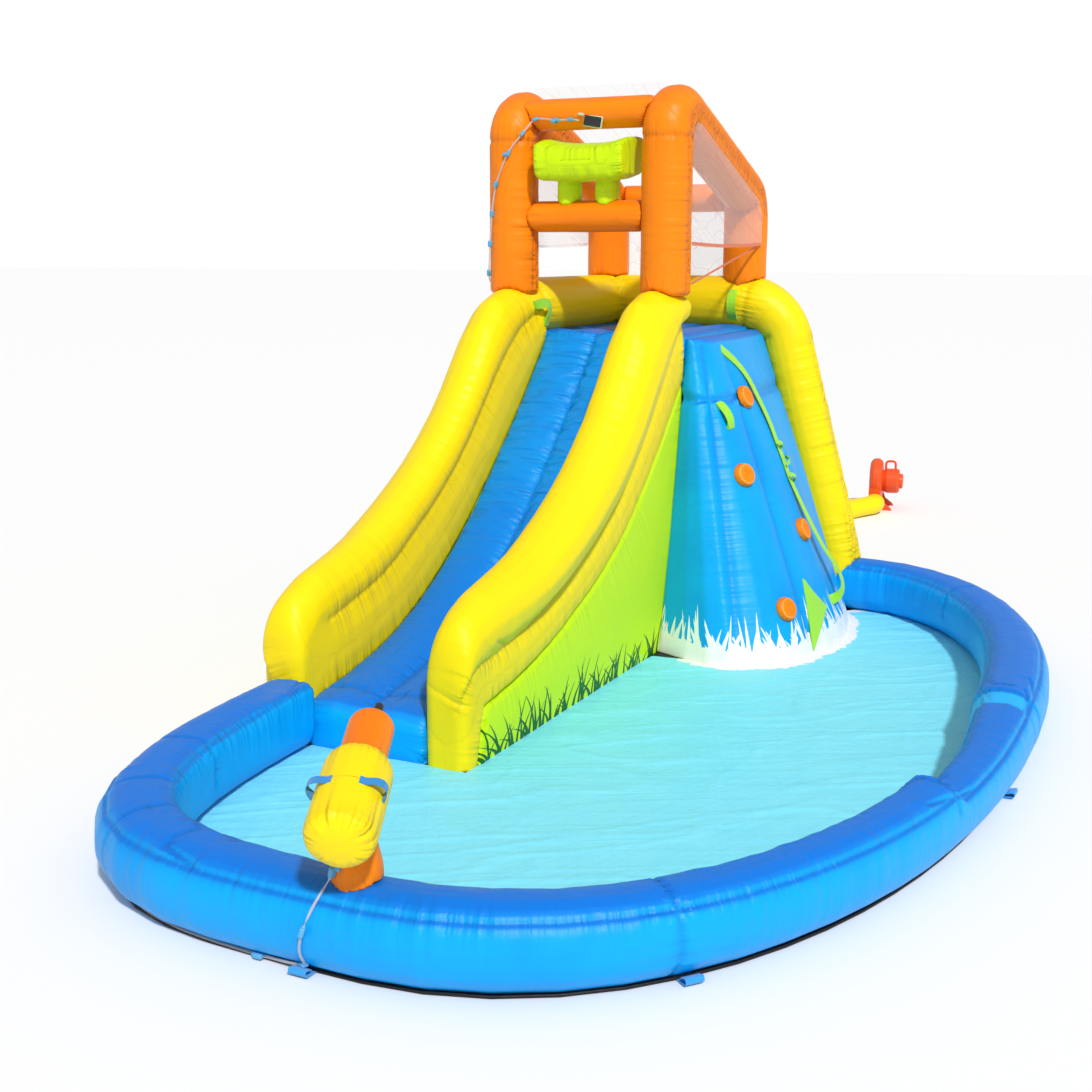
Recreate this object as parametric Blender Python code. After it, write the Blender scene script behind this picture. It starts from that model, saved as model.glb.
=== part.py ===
# Inflatable water park: a slide and a climbing wall meet on a caged deck beside a splash pool,
# with a water cannon on the pool wall, a sprinkler over the slide and a blower behind.
# Metres, +Z up. X 0 is the slide's centre line, Y 0 its exit and Z 0 the ground.
import bpy
import bmesh
from math import atan2, copysign, cos, hypot, pi, radians, sin, sqrt, tan
from mathutils import Matrix, Vector

# Fits
gap = 0.0003                 # clearance between pieces that touch
sheet_thickness = 0.0015     # ground sheet, pool floor and nets
webbing_thickness = 0.002

# Slide
bed_width = 0.55
rail_width = 0.183
slide_run = 2.15             # exit to deck edge
exit_height = 0.19
exit_depth = 0.153
bed_crown = 0.022            # rise of each of the bed's two lobes
bed_top_crown = 0.034        # and at the deck
bed_dip = 0.006              # drop of the bed's seams
bed_tuck = 0.03              # how far the rails reach below the bed's edge
rail_nose_height = 0.33      # where the rail's front starts to curve back
rail_nose_depth = 0.11
rail_front_height = 0.585
rail_bulge = 0.014
rail_lobe_bulge = 0.03
rail_outer_swell = 0.075     # the upper lobe's swelling beyond its outer side
rail_pinch = 0.010
foot_heel = 0.08             # length of the rail foot that stands on the ground
foot_slope = 0.056
side_bulge = 0.010
side_clearance = 0.0006      # lime sides to the rails

# Tower
deck_top = 1.495
deck_thickness = 0.12
deck_crown = 0.015
tower_depth = 1.15           # deck edge to the back of the tower
gore_bulge = 0.016
barrier_radius = 0.1465
barrier_sink = 0.024         # how deep the barrier lies in the deck
barrier_side = 0.40          # barrier's and cage's centre line from X 0
barrier_back = 3.20          # centre line of the rear barrier and legs

# Cage
post_seat = 1.712            # top of the rails under the front posts
post_y = 2.05
post_radius = 0.118
bow_radius = 0.115
beam_radius = 0.073
cage_front_height = 2.596    # where the posts' and bows' centre lines meet
top_beam_height = 2.535
top_beam_set_back = 0.03
cage_rear_height = 2.175     # centre of the rear beam
mid_beam_drop = 0.477        # mid beam below the top one
bend_clearance = 0.010       # tubes bend round a radius this much larger than their own
net_share = 0.5605381        # side nets' lower edge, from the barrier's centre up to the rear beam's
net_side = 0.105             # side nets from the cage's centre line
net_clearance = 0.001

# Splash box
box_length = 0.43
box_depth = 0.27
box_height = 0.15
box_drop = 0.22              # its centre below the top beam's
box_tilt = radians(8)
box_leg_radius = 0.058
box_leg_spacing = 0.20

# Climbing wall and column
wall_reach = 0.735           # how far its base stands out from the tower
wall_top_reach = 0.085
wall_front = 0.76            # base, from its centre to the front
wall_back = 0.73
wall_top_front = 0.47
wall_top_back = 0.56
wall_base_y = 2.45
wall_top_y = 2.63
wall_squareness = 2.6
wall_rear_squareness = 4.6   # at the top of the rear half
wall_front_relief = 0.16     # how far its front edge draws back along the lime panel
wall_gores = 5
hold_radius = 0.058
strap_width = 0.038          # climbing strap and grab loops
column_foot_x = 1.037
column_bend_x = 0.60
column_bend = 0.25
column_radius = 0.132

# Pool
pool_centre = (0.93, 0.90)
pool_half_width = 1.27
pool_half_length = 2.35
pool_squareness = 2.2
pool_corner_squareness = 3.9
wall_radius = 0.135
wall_overlap = 0.04          # how far the pool wall's end reaches under the column
sheet_margin = 0.072         # ground sheet beyond the pool wall's centre line
floor_back = 3.03            # the floor ends before the column
floor_margin = 0.040         # pool floor short of the pool wall's centre line
floor_front = -0.0135        # and its edge before the slide's exit
stake_loop_width = 0.045
stake_loop_start = 0.042     # from the wall's centre line
stake_loop_reach = 0.085

# Water cannon
cannon_x = 0.938
cannon_y = -1.452
cannon_pivot_z = 0.525
cannon_heading = radians(-21.4)
cannon_tilt = radians(20)
barrel_radius = 0.094
barrel_behind = 0.212
barrel_ahead = 0.050
muzzle_radius = 0.0635
muzzle_length = 0.185
tip_radius = 0.011
tip_length = 0.030
tip_rise = 0.024             # above the muzzle's centre line
post_foot_radius = 0.074
post_head_radius = 0.052
neck_radius = 0.044
knuckle_radius = 0.014       # the barrel tilts on this
knuckle_length = 0.050
knuckle_drop = 0.117         # below the barrel's centre line
neck_height = 0.022          # from the post to the knuckle's centre

# Hoses
hose_radius = 0.0052
clip_radius = 0.0088
clip_length = 0.022
tee_y = 0.20
tee_z = 0.0135
tee_reach = 0.030

# Blower
blower_x = 0.40
blower_y = 6.40
blower_turn = radians(10)
volute_radius = 0.165
volute_width = 0.090
volute_wall = 0.006
volute_height = 0.205        # shaft above the ground
motor_radius = 0.092
motor_length = 0.125
duct_radius = 0.090
duct_end_radius = 0.068      # at the blower
duct_collar = 0.045
fan_blades = 10
grille_slots = 10

ground = sheet_thickness + gap


for item in list(bpy.data.objects):
    bpy.data.objects.remove(item, do_unlink=True)


# Materials
def look(name, colour, roughness, metallic=0.0):
    material = bpy.data.materials.new(name)
    material.use_nodes = True
    shader = material.node_tree.nodes["Principled BSDF"]
    shader.inputs["Base Color"].default_value = (*colour, 1.0)
    shader.inputs["Roughness"].default_value = roughness
    shader.inputs["Metallic"].default_value = metallic
    return material


yellow = look("yellow_cloth", (1.0, 0.80, 0.01), 0.42)
blue = look("blue_cloth", (0.01, 0.23, 0.80), 0.42)
orange = look("orange_cloth", (0.95, 0.17, 0.01), 0.42)
green = look("lime_cloth", (0.38, 0.83, 0.02), 0.42)
aqua = look("aqua_cloth", (0.22, 0.74, 0.88), 0.50)
black = look("black_sheet", (0.01, 0.01, 0.012), 0.60)
net = look("white_net", (0.85, 0.82, 0.82), 0.70)
lime_webbing = look("lime_webbing", (0.30, 0.75, 0.03), 0.65)
blue_webbing = look("blue_webbing", (0.02, 0.20, 0.65), 0.65)
clear_hose = look("clear_hose", (0.55, 0.68, 0.75), 0.25)
black_plastic = look("black_plastic", (0.012, 0.014, 0.014), 0.45)
orange_plastic = look("orange_plastic", (0.90, 0.14, 0.01), 0.38)
grey_plastic = look("grey_plastic", (0.10, 0.10, 0.11), 0.45)


# Shapes
def piece(name, mesh, material, crease=42.0, origin=None):
    mesh.materials.append(material)
    mesh.shade_smooth()
    mesh.set_sharp_from_angle(angle=radians(crease))
    item = bpy.data.objects.new(name, mesh)
    bpy.context.collection.objects.link(item)
    if origin is not None:
        mesh.transform(Matrix.Translation(-Vector(origin)))
        item.location = origin
    return item


def loft(name, rings, material, crease=42.0, origin=None):
    # Closed rings of equal point counts, joined in turn and capped
    shape = bmesh.new()
    loops = [[shape.verts.new(point) for point in ring] for ring in rings]
    for first, second in zip(loops, loops[1:]):
        for k in range(len(first)):
            n = (k + 1) % len(first)
            shape.faces.new((first[k], first[n], second[n], second[k]))
    shape.faces.new(list(reversed(loops[0])))
    shape.faces.new(loops[-1])
    bmesh.ops.recalc_face_normals(shape, faces=shape.faces[:])
    bmesh.ops.triangulate(shape, faces=[face for face in shape.faces if len(face.verts) == 4])
    mesh = bpy.data.meshes.new(name)
    shape.to_mesh(mesh)
    shape.free()
    return piece(name, mesh, material, crease, origin)


def cut_by(target, neighbours, clearance=gap):
    # Each neighbour's shape, grown by the clearance, is taken out of the target
    for neighbour in neighbours:
        mesh = neighbour.data.copy()
        normals = [vertex.normal.copy() for vertex in mesh.vertices]
        for vertex, normal in zip(mesh.vertices, normals):
            vertex.co += normal * clearance * sqrt(2.0)
        cutter = bpy.data.objects.new(f"{target.name}_less_{neighbour.name}", mesh)
        bpy.context.collection.objects.link(cutter)
        cutter.matrix_world = neighbour.matrix_basis
        cutter.hide_render = True
        cutter.display_type = "WIRE"
        cut = target.modifiers.new(cutter.name, "BOOLEAN")
        cut.operation = "DIFFERENCE"
        cut.solver = "EXACT"
        cut.object = cutter


def curve(points, distance):
    # Height at a distance along a smooth line through (distance, height) points
    if distance <= points[0][0]:
        return points[0][1]
    if distance >= points[-1][0]:
        return points[-1][1]
    k = max(i for i in range(len(points) - 1) if points[i][0] <= distance)
    start, end = points[k], points[k + 1]
    before = points[max(k - 1, 0)]
    after = points[min(k + 2, len(points) - 1)]
    span = end[0] - start[0]
    leave = span * (end[1] - before[1]) / (end[0] - before[0])
    arrive = span * (after[1] - start[1]) / (after[0] - start[0])
    t = (distance - start[0]) / span
    return (start[1] * (2 * t ** 3 - 3 * t ** 2 + 1) + leave * (t ** 3 - 2 * t ** 2 + t)
            + end[1] * (3 * t ** 2 - 2 * t ** 3) + arrive * (t ** 3 - t ** 2))


def arc(start, end, bulge, steps):
    # Points from start up to, and without, end, swelling to the right of the way by bulge
    way = end - start
    out = Vector((way.y, -way.x)).normalized()
    return [start + way * (k / steps) + out * bulge * sin(pi * k / steps) for k in range(steps)]


def bezier(p0, p1, p2, p3, steps):
    points = []
    for k in range(steps):
        t = k / steps
        points.append(p0 * (1 - t) ** 3 + p1 * (3 * t * (1 - t) ** 2)
                      + p2 * (3 * t ** 2 * (1 - t)) + p3 * t ** 3)
    return points


def tangents(path):
    return [(path[min(k + 1, len(path) - 1)] - path[max(k - 1, 0)]).normalized()
            for k in range(len(path))]


def rounded(points, radius, steps=6):
    # A path through corner points, each corner turned in an arc of the radius
    path = [points[0]]
    for before, corner, after in zip(points, points[1:], points[2:]):
        enter, leave = (corner - before).normalized(), (after - corner).normalized()
        turn = enter.angle(leave)
        start = corner - enter * radius * tan(turn / 2)
        side = (leave - enter * leave.dot(enter)).normalized()
        for k in range(steps + 1):
            a = turn * k / steps
            path.append(start + enter * radius * sin(a) + side * radius * (1 - cos(a)))
    path.append(points[-1])
    return path


def hoop(centre, tangent, radius, sides, up=Vector((0, 0, 1))):
    side = tangent.cross(up).normalized()
    rise = side.cross(tangent)
    angles = [2 * pi * (k + 0.5) / sides - pi / 2 for k in range(sides)]
    return [centre + side * (radius * cos(a)) + rise * (radius * sin(a)) for a in angles]


def flat(radius, sides=20):
    # How far a tube's flat facets lie from its centre line
    return radius * cos(pi / sides)


def tube(name, path, radii, material, sides=20, up=Vector((0, 0, 1)), ways=None):
    # An inflated tube along a path; ways are the directions its rings face
    path = [Vector(point) for point in path]
    if not isinstance(radii, (list, tuple)):
        radii = [radii] * len(path)
    ways = ways or tangents(path)
    return loft(name, [hoop(p, way, r, sides, up) for p, way, r in zip(path, ways, radii)], material)


def webbing(name, path, faces, width, material, ends=0.0, origin=None):
    # A flat strap along a path; faces are the ways it faces, ends how deep its stitched ends reach
    path = [Vector(point) for point in path]
    rings = []
    for k, (point, way, face) in enumerate(zip(path, tangents(path), faces)):
        out = (face - way * face.dot(way)).normalized()
        across = way.cross(out).normalized() * (width / 2)
        depth = ends if k in (0, 1, len(path) - 2, len(path) - 1) else 0.0
        top = out * (webbing_thickness / 2)
        base = out * (-webbing_thickness / 2 - depth)
        rings.append([point - across + base, point + across + base,
                      point + across + top, point - across + top])
    return loft(name, rings, material, crease=30.0, origin=origin)


def plate(name, outline, offset, material):
    # A flat sheet: an outline in space and the way and distance it is thick
    lower = [Vector(point) for point in outline]
    return loft(name, [lower, [point + Vector(offset) for point in lower]], material, crease=20.0)


def turned(name, profile, material, sides, frame, crease=42.0):
    # (radius, height) pairs turned about the frame's Z axis; the first and last radius close the ends
    rings = []
    for radius, height in profile:
        rings.append([frame @ Vector((radius * cos(2 * pi * k / sides), radius * sin(2 * pi * k / sides),
                                      height))
                      for k in range(sides)])
    return loft(name, rings, material, crease)


# Slide lines: (share of the run, share of the rise) from the exit to the deck
bed_line = ((0.07, 0.0), (0.16, 0.027), (0.29, 0.08), (0.44, 0.19), (0.62, 0.39), (0.77, 0.615),
            (0.875, 0.78), (1.0, 1.0))
top_line = ((0.042, 0.0), (0.093, 0.05), (0.186, 0.09), (0.28, 0.142), (0.43, 0.28), (0.55, 0.43),
            (0.675, 0.65), (0.77, 0.885), (0.82, 0.965), (0.875, 1.0), (1.0, 1.0))
# Heights above the bed, in metres, at shares of the run
side_seam_line = ((0.08, 0.027), (0.16, 0.02), (0.29, 0.01), (0.44, -0.03), (0.62, -0.12),
                  (0.77, -0.19), (1.0, -0.22))
outer_crease_line = ((0.05, 0.20), (0.16, 0.185), (0.29, 0.18), (0.47, 0.15), (0.64, 0.085),
                     (0.785, 0.07), (0.885, 0.14), (1.0, 0.18))
outer_swell_line = ((0.0, 0.25), (0.1, 0.4), (0.3, 0.9), (0.6, 1.0), (0.85, 0.9), (1.0, 0.6))
inner_crease_line = ((0.0, 0.25), (0.23, 0.265), (0.36, 0.28), (0.46, 0.32), (0.69, 0.34), (0.8, 0.345),
                     (1.0, 0.30))
bed_half = bed_width / 2
rail_middle = bed_half + rail_width / 2
rail_outer = bed_half + rail_width
rail_end = slide_run - gap


def bed_height(y):
    return exit_height + (deck_top - exit_height) * curve(bed_line, y / slide_run)


def foot_share(y):
    return min(max((y - foot_heel) / foot_slope, 0.0), 1.0)


def rail_base(y, line_height):
    return ground + (line_height - ground) * foot_share(y)


def inner_base(y):
    return rail_base(y, bed_height(y) - bed_tuck)


def outer_base(y):
    return rail_base(y, bed_height(y) + curve(side_seam_line, y / slide_run))


def rail_top(y):
    crown = rail_front_height + (post_seat - rail_front_height) * curve(top_line, y / slide_run)
    back = min(max((rail_nose_depth - 0.01 - y) / rail_nose_depth, 0.0), 1.0)
    return rail_nose_height + (crown - rail_nose_height) * sqrt(1 - back ** 2)


def rail_section(y, hand):
    # One ring of a rail: up its inner side, over the top lobe and down its outer side
    nose_round = 0.045
    narrow = min(max((nose_round - 0.01 - y) / nose_round, 0.0), 1.0)
    half = rail_width / 2 - nose_round * (1 - sqrt(1 - narrow ** 2))
    swell = min(max((y - 0.05) / 0.25, 0.0), 1.0)
    top = rail_top(y)
    low_in, low_out = inner_base(y), outer_base(y)
    share = y / slide_run
    crease_in = min(bed_height(y) + curve(inner_crease_line, share), top - 0.35 * (top - low_in), top - 0.05)
    crease_out = min(bed_height(y) + curve(outer_crease_line, share), top - 0.35 * (top - low_out),
                     top - 0.05)
    pinch = rail_pinch * swell
    lobe = rail_lobe_bulge * swell
    bulge = rail_bulge * swell
    foot_in = Vector((rail_middle - half, low_in))
    foot_out = Vector((rail_middle + half, low_out))
    waist_in = Vector((rail_middle - half + pinch, crease_in))
    waist_out = Vector((rail_middle + half - pinch, crease_out))
    crown = Vector((rail_middle, top))
    shoulder = 0.62 * half
    fat = curve(outer_swell_line, share) * rail_outer_swell
    crown.x += 0.2 * fat
    ring = arc(foot_in, waist_in, -bulge, 3)
    ring += bezier(waist_in, Vector((waist_in.x - lobe, crease_in + 0.45 * (top - crease_in))),
                   Vector((rail_middle - shoulder, top)), crown, 5)
    ring += bezier(crown, Vector((crown.x + shoulder + 0.5 * fat, top)),
                   Vector((waist_out.x + lobe + 2.1 * fat, crease_out + 0.5 * (top - crease_out))),
                    waist_out, 6)
    ring += arc(waist_out, foot_out, -bulge, 3) + [foot_out]
    return [Vector((hand * point.x, y, point.y)) for point in ring]


def rail_stations():
    # Distances along the slide from the heel of the rails' feet to the deck
    count = 15
    start = foot_heel + foot_slope + 0.07
    rest = [start + (rail_end - start) * k / count for k in range(count + 1)]
    return [foot_heel, foot_heel + foot_slope] + rest


def build_rails():
    nose = [-0.0095, -0.004, 0.006, 0.02, 0.045]
    return [loft(name, [rail_section(y, hand) for y in nose + rail_stations()], yellow)
            for name, hand in (("rail_left", -1), ("rail_right", 1))]


def build_slide_sides():
    # Lime bodies under the rails, kept off them along their whole lower face
    inner = bed_half + gap
    share = gap / rail_width
    rings = {-1: [], 1: []}
    for y in rail_stations():
        drop = side_clearance if y > foot_heel else -0.0012
        shift = side_clearance if y < rail_end else 0.0
        low_in = inner_base(y) + (outer_base(y) - inner_base(y)) * share - drop
        low_out = outer_base(y) - drop
        outline = arc(Vector((rail_outer, ground)), Vector((rail_outer, low_out)), side_bulge, 4)
        outline += [Vector((rail_outer, low_out)), Vector((inner, low_in)), Vector((inner, ground))]
        for hand in rings:
            rings[hand].append([Vector((hand * point.x, y + shift, point.y)) for point in outline])
    return [loft("slide_side_left", rings[-1], green), loft("slide_side_right", rings[1], green)]


def lobes(x):
    # Share of the crown at x, over the bed's two lobes with a valley between
    return sin(pi * abs(x) / bed_half) ** 0.7


def build_bed(rails):
    half = bed_half - gap
    across = [half * k / 6 for k in range(-6, 7)]
    rings = []
    for y in [exit_depth + gap] + [y for y in rail_stations() if y > exit_depth + 0.01]:
        edge = bed_height(y)
        crown = bed_crown + (bed_top_crown - bed_crown) * y / slide_run
        top = [Vector((x, y, edge - bed_dip + (crown + bed_dip) * lobes(x))) for x in across]
        rings.append([Vector((-half, y, ground))] + top + [Vector((half, y, ground))])
    bed = loft("slide_bed", rings, blue)
    cut_by(bed, rails)
    return bed


def build_exit_roll(rails):
    half = bed_half - gap
    rings = []
    for share in (-1.0, -0.86, -0.5, -0.14, 0.0, 0.14, 0.5, 0.86, 1.0):
        x = half * share
        swell = lobes(x)
        face = -0.010 * swell
        crown = exit_height - bed_dip + (bed_crown + bed_dip) * swell
        outline = [(0.012, ground), (face, 0.03), (face, crown - 0.085), (face + 0.012, crown - 0.05),
                   (face + 0.04, crown - 0.02), (0.09, crown - 0.006), (exit_depth, crown),
                    (exit_depth, ground)]
        rings.append([Vector((x, y, z)) for y, z in outline])
    roll = loft("slide_exit_roll", rings, blue)
    cut_by(roll, rails)
    return roll


# Tower
def gored_side(start, end, count, bulge, steps=4):
    # Points of a side that swells between vertical seams
    points = []
    for k in range(count):
        first = start + (end - start) * (k / count)
        last = start + (end - start) * ((k + 1) / count)
        points += arc(first, last, bulge, steps)
    return points


def build_tower():
    front = slide_run + gap
    back = slide_run + tower_depth
    left, right = -rail_outer, rail_outer - gap
    top = deck_top - deck_thickness - gap
    levels = ((ground, 0.2), (0.10, 0.9), (0.5 * top, 1.0), (top - 0.10, 0.9), (top, 0.2))
    rings = []
    for z, share in levels:
        corners = [Vector((right, front)), Vector((right, back)), Vector((left, back)), Vector((left, front))]
        outline = [corners[0]]
        outline += gored_side(corners[1], corners[2], 4, gore_bulge * share)
        outline += gored_side(corners[2], corners[3], 5, gore_bulge * share)
        outline.append(corners[3])
        rings.append([Vector((point.x, point.y, z)) for point in outline])
    return loft("tower_body", rings, blue)


def build_deck(neighbours):
    left, right = -rail_outer, rail_outer - gap
    low = deck_top - deck_thickness
    channels, steps = 4, 3
    rings = []
    for share in (0.0, 0.02, 0.5, 0.98, 1.0):
        y = slide_run + gap + (tower_depth - 0.02) * share
        edge = 0.012 if share in (0.0, 1.0) else 0.0
        top = []
        for k in range(channels * steps + 1):
            x = left + (right - left) * k / (channels * steps)
            top.append(Vector((x, y, deck_top - edge + deck_crown * abs(sin(pi * k / steps)))))
        rings.append([Vector((left, y, low))] + top + [Vector((right, y, low))])
    deck = loft("deck", rings, blue)
    cut_by(deck, neighbours)
    return deck


def wall_point(across, z, lift=0.0):
    # The climbing wall's surface: across 0 is its front edge, 1 its rear edge
    rise = z / (deck_top - 0.005)
    reach = wall_reach + (wall_top_reach - wall_reach) * rise
    middle = wall_base_y + (wall_top_y - wall_base_y) * rise
    angle = pi * (across - 0.5)
    base, high = (wall_front, wall_top_front) if angle < 0 else (wall_back, wall_top_back)
    half = base + (high - base) * rise
    rear = max(0.0, sin(angle)) * (wall_rear_squareness - wall_squareness) * rise
    power = 2 / (wall_squareness + rear)
    seam = sin(pi * ((across * wall_gores) % 1.0))
    bulge = gore_bulge * seam * min(1.0, (1.05 - rise) * 2) + lift
    out = Vector((cos(angle) * half, sin(angle) * reach, 0)).normalized()
    x = rail_outer + gap + reach * cos(angle) ** power + bulge * out.x if 0 < across < 1 else rail_outer + gap
    draw_back = wall_front_relief * (1.15 - rise) * max(0.0, 1 - across / 0.2) ** 2
    y = middle + half * copysign(abs(sin(angle)) ** power, angle) + bulge * out.y + draw_back
    return Vector((x, y, z))


def wall_normal(across, z):
    step = 0.01
    along = wall_point(across + step, z) - wall_point(across - step, z)
    up = wall_point(across, z + step) - wall_point(across, z - step)
    return along.cross(up).normalized()


def build_climbing_wall(neighbours):
    levels = [ground, 0.06, 0.27, 0.50, 0.74, 0.98, 1.20, 1.36, 1.42]
    steps = wall_gores * 4
    rings = []
    for z in levels:
        rings.append([wall_point(k / steps, z) for k in range(steps + 1)])
    inner = rail_outer + gap
    crest = rings[-1]
    for z, share in ((1.458, 0.86), (1.482, 0.50)):
        rings.append([Vector((inner + (p.x - inner) * share, wall_top_y + (p.y - wall_top_y) * 0.99, z))
                      for p in crest])
    wall = loft("climbing_wall", rings, blue)
    cut_by(wall, neighbours)
    return wall


def build_holds(wall):
    # Orange tufts in a zigzag up the wall, with a dimple sewn into the middle of each
    places = ((0.33, 0.235), (0.493, 0.54), (0.293, 0.845), (0.428, 1.187))
    profile = ((0.006, 0.012), (0.016, 0.016), (0.026, 0.027), (0.040, 0.030), (0.052, 0.022),
               (hold_radius, 0.006), (hold_radius, -0.03))
    for k, (across, z) in enumerate(places):
        normal = wall_normal(across, z)
        turn = normal.to_track_quat("Z", "Y").to_matrix().to_4x4()
        frame = Matrix.Translation(wall_point(across, z)) @ turn
        hold = turned(f"foot_hold_{k + 1}", profile[::-1], orange, 14, frame)
        cut_by(hold, [wall])


def build_climb_strap(wall):
    # (across, height, lift) down the wall: stitched at the top, slack between knots, looped at the foot
    route = ((0.37, 1.425, 0.0035), (0.39, 1.41, 0.0035), (0.44, 1.365, 0.008), (0.485, 1.28, 0.012),
             (0.495, 1.17, 0.014), (0.505, 1.05, 0.014), (0.505, 0.94, 0.009), (0.51, 0.86, 0.006),
             (0.505, 0.79, 0.008), (0.51, 0.72, 0.010), (0.505, 0.62, 0.030), (0.51, 0.50, 0.042),
             (0.515, 0.42, 0.056), (0.522, 0.345, 0.078), (0.523, 0.28, 0.082), (0.520, 0.235, 0.066),
             (0.515, 0.208, 0.040), (0.510, 0.196, 0.012), (0.506, 0.190, 0.0035))
    path = [wall_point(across, z, lift) for across, z, lift in route]
    faces = [wall_normal(across, z) for across, z, lift in route]
    strap = webbing("climb_strap", path, faces, strap_width, lime_webbing, ends=0.010)
    cut_by(strap, [wall])


def build_strap_anchor(wall):
    # Triangular lime patch that holds the strap's lower end
    corners = ((0.433, 0.335), (0.490, 0.180), (0.395, 0.03))
    steps = 6
    across = 5
    rings = []
    for k in range(steps + 1):
        t = k / steps
        start = [corners[0][i] + (corners[2][i] - corners[0][i]) * t for i in (0, 1)]
        over = max(1 - abs(2 * t - 1), 0.06)
        reach = [(corners[1][i] - (corners[0][i] + corners[2][i]) / 2) * over for i in (0, 1)]
        row = [[start[i] + reach[i] * j / across for i in (0, 1)] for j in range(across + 1)]
        rings.append([wall_point(u, z, 0.0045) for u, z in row]
                     + [wall_point(u, z, -0.012) for u, z in row[::-1]])
    anchor = loft("strap_anchor", rings, lime_webbing, crease=25.0)
    cut_by(anchor, [wall])


def build_handles(wall, rail, barrier):
    # Lime grab loops on the wall, beside the slide's top and on the rear barrier
    low, high = (0.287, 1.06), (0.250, 1.185)
    steps = 8
    route = [(low[0] + (high[0] - low[0]) * k / steps, low[1] + (high[1] - low[1]) * k / steps,
              0.0035 + 0.024 * sin(pi * k / steps)) for k in range(steps + 1)]
    path = [wall_point(across, z, lift) for across, z, lift in route]
    grab = webbing("wall_handle", path, [wall_normal(across, z) for across, z, lift in route], strap_width,
                   lime_webbing, 0.010)
    cut_by(grab, [wall])
    inner = -bed_half + 0.020
    path = [(inner - 0.008, 2.02, 1.635), (inner - 0.004, 2.04, 1.64), (inner + 0.016, 2.09, 1.648),
            (inner + 0.018, 2.114, 1.63), (inner + 0.014, 2.128, 1.59), (inner - 0.004, 2.128, 1.55),
            (inner - 0.008, 2.128, 1.53)]
    grab = webbing("entrance_handle", path, [Vector((1, 0, 0))] * len(path), strap_width, lime_webbing, 0.02)
    cut_by(grab, [rail])
    centre = Vector((0.385, barrier_back, deck_top + barrier_radius - barrier_sink))
    path = []
    faces = []
    for k in range(steps + 1):
        angle = radians(30 - 62 * k / steps)
        out = Vector((0, -cos(angle), sin(angle)))
        path.append(centre + out * (barrier_radius + 0.0035 + 0.020 * sin(pi * k / steps)))
        faces.append(out)
    grab = webbing("barrier_handle", path, faces, strap_width, lime_webbing, 0.006)
    cut_by(grab, [barrier])


# Barrier, column and cage
def split_path(path, k):
    # The two parts of a path cut square at its point k, a gap apart, each with its directions
    ways = tangents(path)
    first = path[:k] + [path[k] - ways[k] * (gap / 2)]
    second = [path[k] + ways[k] * (gap / 2)] + path[k + 1:]
    return (first, ways[:k + 1]), (second, ways[k:])


def build_barrier():
    z = deck_top + barrier_radius - barrier_sink
    front = slide_run + 2 * gap
    corner = Vector((-barrier_side, barrier_back, z))
    corner_path = rounded([Vector((-barrier_side, front, z)), corner, Vector((0.1, barrier_back, z))],
                          barrier_radius + bend_clearance)
    (left, left_ways), (rear, rear_ways) = split_path(corner_path, 4)
    bend = rounded([Vector((0.1, barrier_back, z)), Vector((column_bend_x, barrier_back, z)),
                    Vector((column_foot_x, barrier_back, ground))], column_bend, 8)
    (middle, middle_ways), (down, down_ways) = split_path(bend[1:], 1)
    barrier_left = tube("barrier_left", left, barrier_radius, yellow, ways=left_ways)
    barrier_rear = tube("barrier_rear", rear[:-1] + middle, barrier_radius, yellow,
                        ways=rear_ways[:-1] + middle_ways)
    shaft = [down[-2].lerp(down[-1], k / 3) for k in (1, 2)]
    path = down[:-1] + shaft + [down[-1]]
    ways = down_ways[:-1] + [down_ways[-1]] * 3
    radii = [barrier_radius + (column_radius - barrier_radius) * min(k / 6, 1) for k in range(len(path))]
    column = tube("column", path, radii, yellow, up=Vector((0, 1, 0)), ways=ways)
    level_foot(column)
    return barrier_left, barrier_rear, column


def level_foot(item):
    # The lowest ring of a leaning tube is slid along it to the ground's level
    mesh = item.data
    foot = min(mesh.polygons, key=lambda face: face.center.z)
    for k in foot.vertices:
        mesh.vertices[k].co.z = ground


def build_cage(rails, barrier_left, barrier_rear, column):
    posts, bows = [], []
    for side, hand, rail in (("left", -1, rails[0]), ("right", 1, rails[1])):
        x = hand * barrier_side
        corners = [Vector((x, post_y, post_seat - 0.022)), Vector((x, post_y, cage_front_height)),
                   Vector((x, barrier_back, cage_rear_height)),
                   Vector((x, barrier_back, deck_top + barrier_radius))]
        (low, low_ways), (high, high_ways) = split_path(rounded(corners, post_radius + bend_clearance), 1)
        up = Vector((1, 0, 0))
        post = tube(f"front_post_{side}", low, post_radius, orange, up=up, ways=low_ways)
        taper = [post_radius if j < 6 else bow_radius for j in range(len(high))]
        bow = tube(f"cage_bow_{side}", high, taper, orange, up=up, ways=high_ways)
        cut_by(post, [rail, barrier_left] if hand < 0 else [rail])
        cut_by(bow, [barrier_left, barrier_rear] if hand < 0 else [barrier_rear, column])
        posts.append(post)
        bows.append(bow)
    beams = []
    for name, y, z, ends in (("top_beam", post_y + top_beam_set_back, top_beam_height, posts + bows),
                             ("mid_beam", post_y, top_beam_height - mid_beam_drop, posts),
                             ("rear_beam", barrier_back, cage_rear_height, bows)):
        path = [Vector((barrier_side * share, y, z)) for share in (-1, -0.6, 0, 0.6, 1)]
        beam = tube(name, path, beam_radius, orange, sides=16)
        cut_by(beam, ends)
        beams.append(beam)
    return beams


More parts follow.
